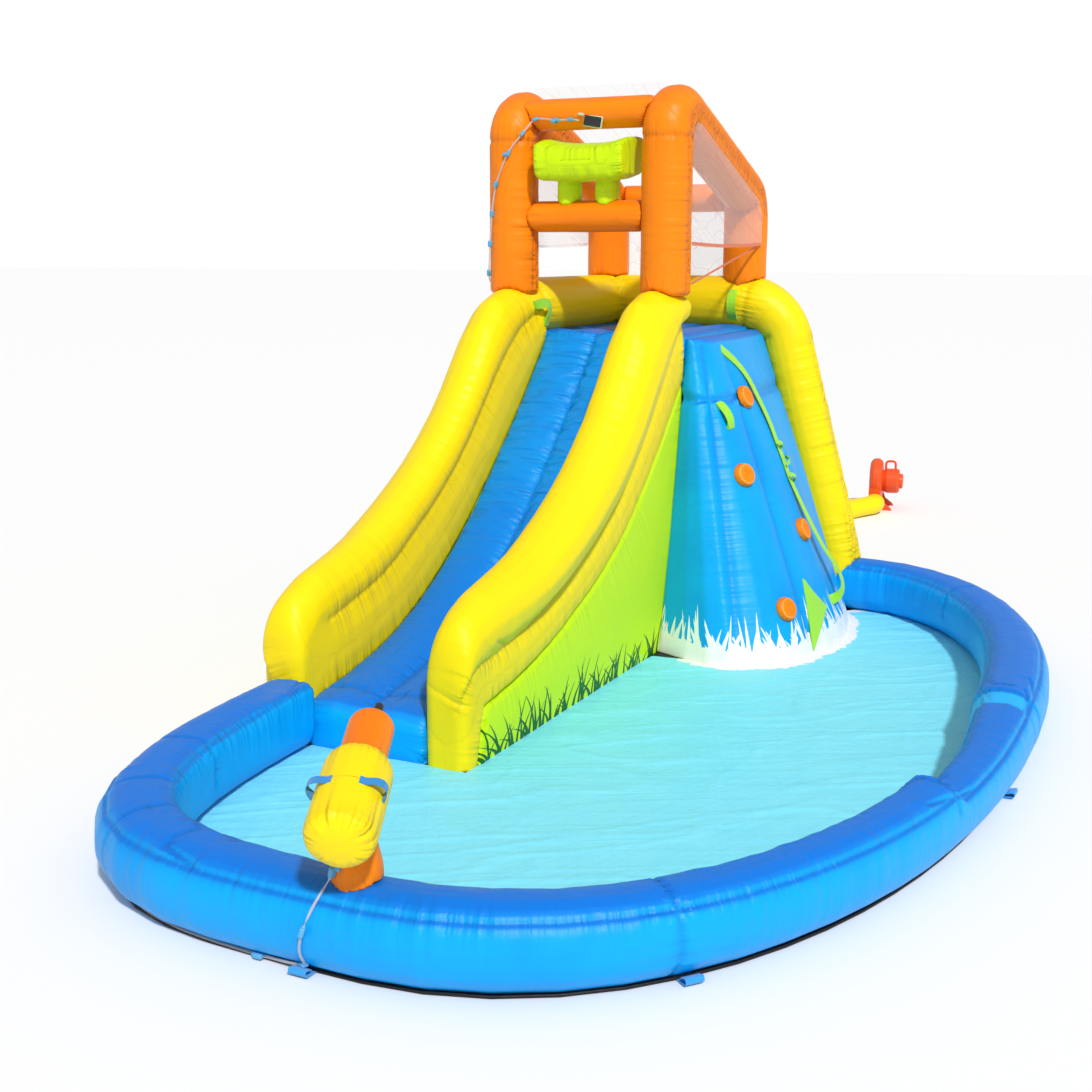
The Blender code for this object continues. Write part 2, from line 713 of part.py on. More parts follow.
def build_nets():
    run = barrier_back - post_y
    barrier_line = deck_top + barrier_radius - barrier_sink
    net_bottom = barrier_line + (cage_rear_height - barrier_line) * net_share
    slope = atan2(cage_front_height - cage_rear_height, run)
    edge = sqrt(bow_radius ** 2 - net_side ** 2) + net_clearance
    rear_y = barrier_back - edge
    bend = post_radius + bend_clearance
    centre = (post_y + bend, cage_front_height - bend * tan((pi / 2 + slope) / 2))
    inner = bend - sqrt(post_radius ** 2 - net_side ** 2) - net_clearance
    last = pi / 2 - slope
    corner = [(centre[0] + inner * cos(a), centre[1] + inner * sin(a))
              for a in (pi - (pi - last) * k / 3 for k in range(4))]
    far = corner[-1]
    bevel = (bend - bow_radius / 2) * tan((pi / 2 - slope) / 2)
    high = far[1] - (rear_y - far[0]) * tan(slope) - net_clearance
    corner += [(rear_y - bevel * cos(slope), high + bevel * sin(slope)), (rear_y, high - bevel)]
    for side, hand in (("left", -1), ("right", 1)):
        x = hand * (barrier_side + net_side)
        outline = [(x, rear_y, net_bottom), (x, corner[0][0], net_bottom)] + [(x, y, z) for y, z in corner]
        plate(f"side_net_{side}", outline, (sheet_thickness * hand, 0, 0), net)
    half = barrier_side - edge
    lift = sqrt(bow_radius ** 2 - edge ** 2) / cos(slope)
    outline = []
    for x, share in ((-half, 0.09), (half, 0.09), (half, 0.96), (-half, 0.96)):
        outline.append((x, post_y + run * share, cage_front_height - tan(slope) * run * share + lift))
    plate("roof_net", outline, (0, 0, sheet_thickness), net)
    low = deck_top + barrier_radius - barrier_sink + flat(barrier_radius) + gap
    high = cage_rear_height - flat(beam_radius, 16) - gap
    half = barrier_side - bow_radius - gap
    outline = [(-half, barrier_back, low), (half, barrier_back, low), (half, barrier_back, high),
               (-half, barrier_back, high)]
    plate("rear_net", outline, (0, sheet_thickness, 0), net)


def build_splash_box(mid_beam):
    centre = top_beam_height - box_drop
    frame = Matrix.Translation((0, post_y, centre)) @ Matrix.Rotation(box_tilt, 4, "X")
    rings = []
    for share, pinch in ((-1.0, 0.80), (-0.97, 0.95), (-0.6, 1.0), (0.0, 1.03), (0.6, 1.0), (0.97, 0.95),
                         (1.0, 0.80)):
        x = box_length / 2 * share
        deep, tall = box_depth / 2 * pinch, box_height / 2 * pinch
        sides = [Vector((deep, -tall)), Vector((deep, tall)), Vector((-deep, tall)), Vector((-deep, -tall))]
        outline = []
        for k in range(4):
            outline += arc(sides[k], sides[(k + 1) % 4], 0.014, 5)
        rings.append([frame @ Vector((x, p.x, p.y)) for p in outline])
    box = loft("splash_box", rings, green)
    for name, hand in (("splash_box_leg_left", -1), ("splash_box_leg_right", 1)):
        x = hand * box_leg_spacing / 2
        path = [Vector((x, post_y, top_beam_height - mid_beam_drop)), Vector((x, post_y, centre))]
        leg = tube(name, path, box_leg_radius, green, sides=14, up=Vector((0, 1, 0)))
        cut_by(leg, [mid_beam, box])
    return box


# Pool
def pool_point(angle):
    # Centre line of the pool wall; the front left quarter is squarer
    power = 2 / (pool_corner_squareness if pi < angle < 1.5 * pi else pool_squareness)
    x = pool_centre[0] + pool_half_width * copysign(abs(cos(angle)) ** power, cos(angle))
    y = pool_centre[1] + pool_half_length * copysign(abs(sin(angle)) ** power, sin(angle))
    return Vector((x, y, 0))


pool_stations = 49


def pool_path(count=pool_stations):
    # Evenly spaced points from the left rail's foot, round the front, to the column
    fine = 4000
    points = [pool_point(pi + 1.5 * pi * k / fine) for k in range(1, fine)]
    points = [Vector((p.x, min(p.y, barrier_back), 0)) for p in points]
    points = [p for p in points if not (p.x < pool_centre[0] and p.y > -0.04 and p.x < 0)]
    last = next(k for k, p in enumerate(points) if p.y > 2.0 and p.x < column_foot_x - wall_overlap)
    points = points[:last]
    lengths = [0.0]
    for a, b in zip(points, points[1:]):
        lengths.append(lengths[-1] + (b - a).length)
    path = []
    k = 0
    for j in range(count + 1):
        target = lengths[-1] * j / count
        while k < len(lengths) - 2 and lengths[k + 1] < target:
            k += 1
        t = (target - lengths[k]) / (lengths[k + 1] - lengths[k])
        path.append(points[k].lerp(points[k + 1], min(t, 1.0)))
    return path


wall_centre_z = ground + wall_radius - 0.003


def station_near(path, x, y):
    return min(range(len(path)), key=lambda k: hypot(path[k].x - x, path[k].y - y))


def offset_path(path, distance):
    # A path moved to its right, which is outwards here
    return [p + Vector((way.y, -way.x, 0)) * distance for p, way in zip(path, tangents(path))]


def build_pool_walls(column, climbing_wall):
    path = [p + Vector((0, 0, wall_centre_z)) for p in pool_path()]
    ways = tangents(path)
    breaks = (0, 10, 26, 33, pool_stations)
    names = ("pool_wall_left", "pool_wall_front", "pool_wall_right", "pool_wall_back")
    walls = []
    for name, first, last in zip(names, breaks, breaks[1:]):
        part = path[first:last + 1]
        part[0] = part[0] + ways[first] * gap / 2
        part[-1] = part[-1] - ways[last] * gap / 2
        rings = [hoop(p, way, wall_radius, 20) for p, way in zip(part, ways[first:last + 1])]
        for ring in rings:
            for point in ring:
                point.z = max(point.z, ground)
        walls.append(loft(name, rings, blue))
    cut_by(walls[-1], [climbing_wall])
    rings = []
    reach = wall_radius + 1.5 * gap
    for p, way in zip(path[-3:], ways[-3:]):
        side = Vector((way.y, -way.x, 0)) * reach
        arch = []
        for k in range(10):
            a = pi * (k + 0.5) / 10
            arch.append(p + side * cos(a) + Vector((0, 0, reach * sin(a))))
        rings.append([arch[-1] - Vector((0, 0, 2 * reach)), arch[0] - Vector((0, 0, 2 * reach))] + arch)
    seat = loft("column_seat", rings, blue)
    boolean(column, seat, "DIFFERENCE")
    return walls


def build_sheets():
    path = pool_path()
    outer = offset_path(path, sheet_margin)
    back = slide_run + tower_depth + 0.03
    left = -rail_outer - 0.006
    outline = outer + [Vector((column_foot_x + 0.05, back + 0.06, 0)), Vector((rail_outer, back + 0.06, 0)),
                       Vector((left, back, 0)), Vector((left, 0.0, 0))]
    plate("ground_sheet", outline, (0, 0, sheet_thickness), black)
    inner = offset_path(path, -floor_margin)
    steps = 20
    foot = [wall_point(k / steps, ground, 0.004) for k in range(steps, -1, -1)]
    edge = rail_outer + side_bulge + 0.002
    foot = [p for p in foot if p.x > edge and p.y < floor_back]
    outline = [Vector((p.x, p.y, ground)) for p in inner if p.y < floor_back or p.x > column_foot_x + 0.01]
    outline += foot
    outline += [Vector((edge, foot[-1].y - 0.02, ground)), Vector((edge, floor_front, ground))]
    outline[0].y = floor_front
    plate("pool_floor", outline, (0, 0, sheet_thickness), aqua)


def build_stake_loops():
    # Folded webbing loops on the ground under the outer edge of the wall
    path = pool_path()
    ways = tangents(path)
    low = ground + webbing_thickness / 2
    for number, (x, y) in enumerate(((0.80, -1.45), (1.74, -1.10), (2.22, 0.62))):
        k = station_near(path, x, y)
        out = Vector((ways[k].y, -ways[k].x, 0))
        start = path[k] + out * stake_loop_start
        route = ((0.0, 0.0), (0.45, 0.0), (0.8, 0.002), (0.94, 0.003), (1.0, 0.008), (0.94, 0.013),
                 (0.8, 0.012), (0.64, 0.009))
        points = [start + out * stake_loop_reach * d + Vector((0, 0, low + z)) for d, z in route]
        up = Vector((0, 0, 1))
        faces = [up, up, up, up - out, -out, -up - out, -up, -up]
        webbing(f"stake_loop_{number + 1}", points, faces, stake_loop_width, blue_webbing)


# Water cannon
pivot = Vector((cannon_x, cannon_y, cannon_pivot_z))


def cannon_frame(tilt=cannon_tilt):
    # Z along the barrel and Y upwards, at the pivot
    aim = Vector((sin(cannon_heading) * cos(tilt), cos(cannon_heading) * cos(tilt), sin(tilt)))
    side = aim.cross(Vector((0, 0, 1))).normalized()
    up = side.cross(aim)
    return Matrix.Translation(pivot) @ Matrix((side, up, aim)).transposed().to_4x4()


def build_cannon(wall):
    knuckle = pivot - Vector((0, 0, knuckle_drop))
    foot = knuckle.z - neck_height
    sides = 20
    up = Vector((0, 0, 1))
    rings = []
    for z, radius in ((0.19, post_foot_radius), (0.30, 0.067), (foot - 0.03, post_head_radius + 0.003),
                      (foot - gap, post_head_radius - 0.006)):
        rings.append(hoop(Vector((cannon_x, cannon_y, z)), up, radius, sides, Vector((0, 1, 0))))
    post = loft("cannon_post", rings, orange)
    cut_by(post, [wall])
    frame = cannon_frame()
    across = frame.to_3x3() @ Vector((1, 0, 0))
    ahead = up.cross(across)
    rings = []
    for z, radius in ((foot, neck_radius), (foot + 0.004, neck_radius), (foot + 0.007, neck_radius - 0.006),
                      (foot + 0.010, knuckle_radius - 0.004), (knuckle.z, knuckle_radius - 0.004)):
        rings.append(hoop(Vector((cannon_x, cannon_y, z)), up, radius, sides, Vector((0, 1, 0))))
    neck = loft("cannon_neck", rings, orange, origin=(cannon_x, cannon_y, foot))
    boolean(neck, knuckle_rod("knuckle", knuckle, across, knuckle_radius, knuckle_length), "UNION")
    r = barrel_radius
    dome = 0.030
    profile = ((r * 0.25, -barrel_behind - dome), (r * 0.62, -barrel_behind - dome * 0.8),
               (r * 0.90, -barrel_behind - dome * 0.35), (r, -barrel_behind),
               (r * 1.01, -barrel_behind * 0.45), (r, barrel_ahead), (r * 0.93, barrel_ahead + 0.014),
               (r * 0.76, barrel_ahead + 0.022))
    barrel = turned("cannon_barrel", profile, yellow, 24, frame)
    rings = []
    for z, share in ((0.002, 1.0), (knuckle_drop - 0.5 * r, 1.15)):
        half_across, half_ahead = knuckle_length / 2 * share, 2.2 * knuckle_radius * share
        rings.append([knuckle + up * z + across * (half_across * i) + ahead * (half_ahead * j)
                      for i, j in ((1, -1), (1, 1), (-1, 1), (-1, -1))])
    boolean(barrel, loft("barrel_pad", rings, yellow), "UNION")
    groove = knuckle_rod("barrel_groove", knuckle, across, knuckle_radius + gap, 2 * knuckle_length)
    boolean(barrel, groove, "DIFFERENCE")
    start = barrel_ahead + 0.022 + gap
    end = start + muzzle_length
    muzzle_profile = ((muzzle_radius, start), (muzzle_radius * 1.01, start + 0.5 * muzzle_length),
                      (muzzle_radius, end - 0.02), (muzzle_radius * 0.9, end - 0.006),
                      (muzzle_radius * 0.62, end))
    muzzle = turned("cannon_muzzle", muzzle_profile, orange, 22, frame)
    tip_frame = frame @ Matrix.Translation((0.010, tip_rise, 0))
    tip_profile = ((tip_radius, end + gap), (tip_radius, end + 0.6 * tip_length),
                   (tip_radius * 0.7, end + tip_length))
    tip = turned("cannon_tip", tip_profile, black_plastic, 14, tip_frame)
    for item in (barrel, muzzle, tip):
        item.data.transform(Matrix.Translation(-knuckle))
        item.location = knuckle
    build_cannon_handles(frame, barrel, knuckle)


def knuckle_rod(name, centre, across, radius, length):
    ends = [centre - across * length / 2, centre + across * length / 2]
    return tube(name, ends, radius, orange, sides=24)


def build_cannon_handles(frame, barrel, knuckle):
    # Webbing loops sewn near the top and low on each side of the barrel
    steps = 12
    turn = frame.to_3x3()
    for name, hand in (("cannon_handle_left", -1), ("cannon_handle_right", 1)):
        path = []
        faces = []
        for k in range(steps + 1):
            t = k / steps
            angle = radians(22 + 54 * t)
            out = Vector((hand * sin(angle), cos(angle), 0))
            lift = 0.003 + 0.026 * sin(pi * min(max((t - 0.2) / 0.8, 0), 1))
            path.append(frame @ (out * (barrel_radius + lift) + Vector((0, 0, -0.085))))
            faces.append(turn @ out)
        strap = webbing(name, path, faces, 0.026, blue_webbing, ends=0.006, origin=knuckle)
        cut_by(strap, [barrel])


# Hoses
def smooth_route(points, per_span=3):
    # A smooth path through a route's own points
    points = [Vector(p) for p in points]
    path = []
    for k in range(len(points) - 1):
        p0, p1, p2, p3 = points[max(k - 1, 0)], points[k], points[k + 1], points[min(k + 2, len(points) - 1)]
        for j in range(per_span):
            t = j / per_span
            path.append(0.5 * (2 * p1 + (p2 - p0) * t + (2 * p0 - 5 * p1 + 4 * p2 - p3) * t ** 2
                               + (3 * p1 - p0 - 3 * p2 + p3) * t ** 3))
    path.append(points[-1])
    return path


def clipped_hose(name, path, clip_stations, material):
    # A hose with short clips round it, each between two points of its path
    stations = []
    ways = tangents(path)
    for k, (point, way) in enumerate(zip(path, ways)):
        if k in clip_stations:
            half = way * (clip_length / 2)
            lip = way * 0.0008
            stations += [(point - half - lip, way, hose_radius), (point - half, way, clip_radius),
                         (point + half, way, clip_radius), (point + half + lip, way, hose_radius)]
        else:
            stations.append((point, way, hose_radius))
    up = Vector((0.3, 0.2, 0.93)).normalized()
    rings = []
    for point, way, radius in stations:
        rings.append(hoop(point, way, radius, 6, up))
    return loft(name, rings, material)


def build_sprinkler_hose():
    # From the tee back along the slide, up the tower's side, round the barrier and the left post
    # and across to the middle of the top beam
    away = post_radius + clip_radius + gap
    left = -rail_outer - side_bulge - clip_radius - 2 * gap
    side = -rail_outer - gore_bulge - clip_radius - 2 * gap
    climb = slide_run + 0.15
    low = clip_radius + gap
    route = [(left, tee_y + tee_reach + gap, tee_z), (left, 0.60, low), (left, 1.10, low), (left, 1.60, low),
             (left, climb - 0.25, low), (side, climb - 0.08, low + 0.012), (side, climb, 0.10),
             (side, climb, 0.45), (side, climb, 0.80), (side, climb, 1.15), (side, climb, 1.36)]
    round_barrier = barrier_radius + clip_radius + 8 * gap
    barrier_height = deck_top + barrier_radius - barrier_sink
    for y, angle in ((climb, -50), (climb - 0.01, -22), (climb - 0.03, 6), (climb - 0.06, 30)):
        a = radians(angle)
        route.append((-barrier_side - round_barrier * cos(a), y, barrier_height + round_barrier * sin(a)))
    turn = ((163, 1.738), (187, 1.745), (217, 1.79), (229, 1.93), (239, 2.073), (254, 2.21), (284, 2.353),
            (316, 2.445))
    for angle, z in turn:
        a = radians(angle)
        route.append((-barrier_side + away * cos(a), post_y + away * sin(a), z))
    for x, angle, off in ((-0.255, 196, 0.0045), (-0.15, 202, gap), (-0.075, 202, gap), (-0.030, 206, gap)):
        a = radians(angle)
        reach = beam_radius + clip_radius + off
        route.append((x, post_y + top_beam_set_back + reach * cos(a), top_beam_height + reach * sin(a)))
    clips = [4, 14, 18, 26, 34, 36, 38, 40, 42, 44, 46, 48, 50]
    return clipped_hose("sprinkler_hose", smooth_route(route, 2), clips, clear_hose)


def build_spray_pad(beam):
    # Flat spray head tied to the front of the top beam
    out = Vector((0, -cos(radians(25)), -sin(radians(25)) * 0.6)).normalized()
    centre = Vector((0.045, post_y + top_beam_set_back, top_beam_height)) + out * (beam_radius + 0.003)
    frame = Matrix.Translation(centre) @ out.to_track_quat("Z", "Y").to_matrix().to_4x4()
    wide, tall = 0.045, 0.030
    outline = [(-wide, 0), (-0.4 * wide, tall), (0.75 * wide, tall), (wide, 0.1 * tall), (0.5 * wide, -tall),
               (-0.6 * wide, -tall)]
    rings = []
    for depth, share in ((-0.0055, 1.0), (0.003, 1.0), (0.008, 0.86)):
        rings.append([frame @ Vector((x * share, y * share, depth)) for x, y in outline])
    pad = loft("spray_pad", rings, black_plastic)
    cut_by(pad, [beam])


def build_cannon_hose():
    # From the tee round the foot of the pool wall, up it and up the cannon's post
    along = pool_path()
    lean = wall_radius + clip_radius + gap
    low = ground + clip_radius + gap
    nook = sqrt(lean ** 2 - (wall_centre_z - low) ** 2)
    foot = offset_path(along, nook)
    left = -rail_outer - side_bulge - clip_radius - 2 * gap
    rise = station_near(along, cannon_x - 0.09, cannon_y)
    route = [(left, tee_y - tee_reach - gap, tee_z), (left, 0.02, tee_z), (foot[1].x - 0.03, foot[1].y, low)]
    route += [(foot[k].x, foot[k].y, low) for k in range(2, rise, 2)]
    ways = tangents(along)
    for shift, angle in ((0.0, -48), (0.015, -22), (0.035, 6), (0.055, 34), (0.066, 58)):
        a = radians(angle)
        out = Vector((ways[rise].y, -ways[rise].x, 0))
        centre = Vector((along[rise].x, along[rise].y, wall_centre_z)) + ways[rise] * shift
        route.append(tuple(centre + out * (lean * cos(a)) + Vector((0, 0, lean * sin(a)))))
    face = Vector((-0.40, -0.917, 0))
    for z, radius, off in ((0.300, 0.067, clip_radius + 4 * gap), (0.335, 0.062, clip_radius + 2 * gap),
                           (0.352, 0.0585, clip_radius), (0.364, 0.0565, clip_radius)):
        route.append((cannon_x + face.x * (radius + off), cannon_y + face.y * (radius + off), z))
    path = smooth_route(route, 2)
    last = len(path) - 1
    clips = [8, 12, 16, last - 16, last - 12, last - 6]
    return clipped_hose("cannon_hose", path, clips, clear_hose)


def build_tee():
    # Garden hose inlet that feeds both hoses, lying beside the slide
    x = -rail_outer - side_bulge - clip_radius - 2 * gap
    frame = Matrix.Translation((x, tee_y, tee_z)) @ Matrix.Rotation(radians(-90), 4, "X")
    run = turned("hose_tee", ((0.0075, -tee_reach), (0.0075, -0.012), (0.0095, -0.010), (0.0095, 0.010),
                              (0.0075, 0.012), (0.0075, tee_reach)), grey_plastic, 12, frame)
    side = Matrix.Translation((x, tee_y, tee_z)) @ Matrix.Rotation(radians(-90), 4, "Y")
    profile = ((0.0065, 0.0), (0.0065, 0.022), (0.0115, 0.024), (0.0115, 0.048), (0.009, 0.050))
    inlet = turned("tee_inlet", profile, grey_plastic, 12, side)
    boolean(run, inlet, "UNION")


# Blower
blower_frame = Matrix.Translation((blower_x, blower_y, volute_height)) @ Matrix.Rotation(blower_turn, 4, "Z")
shaft_frame = blower_frame @ Matrix.Rotation(radians(90), 4, "Y")


def boolean(target, tool, operation):
    tool.hide_render = True
    tool.display_type = "WIRE"
    step = target.modifiers.new(tool.name, "BOOLEAN")
    step.operation = operation
    step.solver = "EXACT"
    step.object = tool


def slab(name, outline, first, last, material, frame):
    # A (y, z) outline extruded along the blower's shaft
    rings = [[frame @ Vector((x, y, z)) for y, z in outline] for x in (first, last)]
    return loft(name, rings, material)


def build_blower():
    half = volute_width / 2
    rim = 0.030
    profile = ((volute_radius - rim, -half), (volute_radius - 0.012, -half + 0.010),
               (volute_radius, -half + rim), (volute_radius, half - rim),
               (volute_radius - 0.012, half - 0.010), (volute_radius - rim, half))
    housing = turned("blower_housing", profile, orange_plastic, 28, shaft_frame)
    low = -volute_height + 0.002
    mouth = -volute_radius - duct_collar
    outline = [(mouth, low + 0.018), (0.02, low + 0.010), (0.02, -0.02), (mouth, low + 0.165)]
    outlet = slab("outlet_box", outline, -half + 0.004, half - 0.004, orange_plastic, blower_frame)
    boolean(housing, outlet, "UNION")
    for k, y in enumerate((-0.128, 0.104)):
        outline = [(-half + 0.006, low), (half + 0.080, low), (half + 0.068, low + 0.016),
                   (half + 0.018, low + 0.055), (half - 0.006, -0.08), (-half + 0.006, -0.08)]
        rings = [[blower_frame @ Vector((x, along, z)) for x, z in outline] for along in (y, y + 0.026)]
        boolean(housing, loft(f"foot_{k}", rings, orange_plastic), "UNION")
    cavity = turned("cavity", ((volute_radius - volute_wall - 0.014, -half + volute_wall),
                               (volute_radius - volute_wall - 0.014, half - volute_wall)), orange_plastic, 24,
                    shaft_frame)
    boolean(housing, cavity, "DIFFERENCE")
    inlet_radius = 0.075
    inlet = turned("inlet", ((inlet_radius, -half - 0.03), (inlet_radius, 0.0)), orange_plastic, 24,
                   shaft_frame)
    boolean(housing, inlet, "DIFFERENCE")
    build_grille(inlet_radius, -half)
    build_impeller(half - volute_wall)
    build_motor(half)
    return housing


def build_grille(radius, face):
    # A plate in the inlet with slots between its spokes
    outer = radius - gap
    profile = ((outer, face + 0.004), (outer, face - 0.001), (outer - 0.004, face - 0.004))
    grille = turned("inlet_grille", profile, black_plastic, 24, shaft_frame)
    near, far = 0.018, outer - 0.009
    for k in range(grille_slots):
        turn = shaft_frame @ Matrix.Rotation(2 * pi * k / grille_slots, 4, "Z")
        outline = ((near, -0.0025), (far, -0.0135), (far + 0.002, 0.0), (far, 0.0135), (near, 0.0025))
        slot = loft(f"grille_slot_{k}", [[turn @ Vector((x, y, z)) for x, y in outline]
                                         for z in (face - 0.01, face + 0.01)], black_plastic)
        boolean(grille, slot, "DIFFERENCE")


def build_impeller(back):
    # Forward-curved wheel between the inlet and the motor's wall
    wheel_radius = 0.112
    hub = 0.020
    profile = ((hub, -0.012), (hub, back - 0.008), (wheel_radius, back - 0.008), (wheel_radius, back - 0.004),
               (hub, back - 0.004), (hub, back - gap))
    disc = turned("impeller", profile, black_plastic, 24, shaft_frame)
    for k in range(fan_blades):
        turn = shaft_frame @ Matrix.Rotation(2 * pi * k / fan_blades, 4, "Z")
        blade = loft(f"blade_{k}", [[turn @ Vector((x, y, z)) for x, y in
                                     ((0.086, 0.0), (0.098, 0.0045), (0.1075, 0.013), (0.1055, 0.0155),
                                      (0.085, 0.0026))] for z in (-0.022, back - 0.006)],
                     black_plastic)
        boolean(disc, blade, "UNION")
    centre = blower_frame.translation
    disc.data.transform(Matrix.Translation(-centre))
    disc.location = centre
    return disc


def build_motor(face):
    # Motor cover with a stepped vented end and a carrying handle over it
    start = face + gap
    end = face + motor_length
    r = motor_radius
    profile = ((r * 0.86, start), (r * 0.90, start + 0.012), (r, start + 0.03), (r, end - 0.02),
               (r * 0.9, end - 0.004), (r * 0.62, end), (r * 0.60, end + 0.018), (r * 0.45, end + 0.024))
    motor = turned("blower_motor", profile, orange_plastic, 20, shaft_frame)
    middle = (start + end) / 2 - 0.01
    corners = [Vector((middle - 0.032, 0, r * 0.8)), Vector((middle - 0.032, 0, r + 0.055)),
               Vector((middle + 0.038, 0, r + 0.055)), Vector((middle + 0.038, 0, r * 0.8))]
    path = [blower_frame @ p for p in rounded(corners, 0.022, 4)]
    grip = tube("grip", path, 0.009, orange_plastic, sides=8, up=blower_frame.to_3x3() @ Vector((0, 1, 0)))
    boolean(motor, grip, "UNION")


def build_duct(tower):
    # Yellow air duct on the ground from the back of the tower to the blower's outlet
    mouth = -volute_radius - duct_collar - 2 * gap
    outlet = blower_frame @ Vector((0, mouth, -volute_height + duct_end_radius + 0.004))
    way = blower_frame.to_3x3() @ Vector((0, -1, 0))
    z = duct_radius + 0.001
    low = duct_end_radius + 0.001
    back = slide_run + tower_depth - 0.01
    route = [(-0.02, back, z), (-0.02, back + 0.30, z), (0.06, 4.3, (z + low) / 2), (0.19, 5.1, low),
             (0.30, 5.70, low), tuple(outlet + way * 0.12), tuple(outlet)]
    path = smooth_route(route, 2)
    ways = tangents(path)
    ways[0], ways[-1] = Vector((0, 1, 0)), -way
    taper = (duct_radius - duct_end_radius) / 6
    radii = [max(duct_end_radius, duct_radius - taper * k) for k in range(len(path))]
    rings = [hoop(p, t, r, 16) for p, t, r in zip(path, ways, radii)]
    for ring in rings:
        for point in ring:
            point.z = max(point.z, 0.0015)
    duct = loft("air_duct", rings, yellow)
    cut_by(duct, [tower])


def build_all():
    rails = build_rails()
    slide_sides = build_slide_sides()
    build_bed(rails)
    build_exit_roll(rails)
    tower = build_tower()
    barrier_left, barrier_rear, column = build_barrier()
    build_deck([barrier_left, barrier_rear, column])
    wall = build_climbing_wall([slide_sides[1], rails[1], column, barrier_rear])
    build_holds(wall)
    build_climb_strap(wall)
    build_strap_anchor(wall)
    build_handles(wall, rails[0], barrier_rear)
    beams = build_cage(rails, barrier_left, barrier_rear, column)
    build_nets()
    build_splash_box(beams[1])
    walls = build_pool_walls(column, wall)
    build_sheets()
    build_stake_loops()
    build_cannon(walls[1])
    build_sprinkler_hose()
    build_spray_pad(beams[0])
    build_cannon_hose()
    build_tee()
    build_blower()
    build_duct(tower)


build_all()
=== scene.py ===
import math
import bpy
import bmesh
import numpy as np
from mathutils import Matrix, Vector
from mathutils.kdtree import KDTree


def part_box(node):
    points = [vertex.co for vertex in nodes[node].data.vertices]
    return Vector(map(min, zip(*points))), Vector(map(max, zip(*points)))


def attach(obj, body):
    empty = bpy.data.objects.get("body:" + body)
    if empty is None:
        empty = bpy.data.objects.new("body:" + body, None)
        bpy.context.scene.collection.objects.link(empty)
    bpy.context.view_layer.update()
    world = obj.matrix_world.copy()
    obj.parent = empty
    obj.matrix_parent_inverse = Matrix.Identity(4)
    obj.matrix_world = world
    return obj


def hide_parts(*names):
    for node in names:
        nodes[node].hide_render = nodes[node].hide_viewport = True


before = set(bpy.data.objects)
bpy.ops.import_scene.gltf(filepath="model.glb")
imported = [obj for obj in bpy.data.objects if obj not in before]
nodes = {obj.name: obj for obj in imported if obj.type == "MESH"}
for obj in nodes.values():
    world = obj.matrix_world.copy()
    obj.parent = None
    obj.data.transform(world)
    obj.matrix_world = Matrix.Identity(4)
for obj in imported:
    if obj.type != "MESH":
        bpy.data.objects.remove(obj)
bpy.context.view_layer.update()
print("frame loaded")


# Camera and light
view = {"place": (3.011, -4.53, 1.9), "down": 11.347, "turn": 26.2, "lens": 48.63, "near": 0.05, "far": 400}
cameraData = bpy.data.cameras.new("camera")
cameraData.sensor_width = 36
cameraData.lens = view["lens"]
cameraData.clip_start = view["near"]
cameraData.clip_end = view["far"]
camera = bpy.data.objects.new("camera", cameraData)
camera.location = view["place"]
camera.rotation_euler = (math.radians(90 - view["down"]), 0, math.radians(view["turn"]))
bpy.context.scene.collection.objects.link(camera)
bpy.context.scene.camera = camera
bpy.context.scene.view_settings.view_transform = "Standard"

lights = {"sunStrength": 2.95, "sunAzimuth": 42, "sunElevation": 45, "sunAngle": 4, "skyStrength": 0.50}
sunData = bpy.data.lights.new("sun", "SUN")
sunData.energy = lights["sunStrength"]
sunData.angle = math.radians(lights["sunAngle"])
sun = bpy.data.objects.new("sun", sunData)
sun.rotation_euler = (math.radians(90 - lights["sunElevation"]), 0, math.radians(lights["sunAzimuth"]))
bpy.context.scene.collection.objects.link(sun)

world = bpy.data.worlds.new("studio")
bpy.context.scene.world = world
world.use_nodes = True
tree = world.node_tree
background = tree.nodes["Background"]
rays = tree.nodes.new("ShaderNodeLightPath")
backdrop = tree.nodes.new("ShaderNodeBackground")
mixer = tree.nodes.new("ShaderNodeMixShader")
background.inputs["Color"].default_value = (1, 1, 1, 1)
background.inputs["Strength"].default_value = lights["skyStrength"]
backdrop.inputs["Color"].default_value = (1, 1, 1, 1)
tree.links.new(rays.outputs["Is Camera Ray"], mixer.inputs["Fac"])
tree.links.new(background.outputs[0], mixer.inputs[1])
tree.links.new(backdrop.outputs[0], mixer.inputs[2])
tree.links.new(mixer.outputs[0], tree.nodes["World Output"].inputs["Surface"])


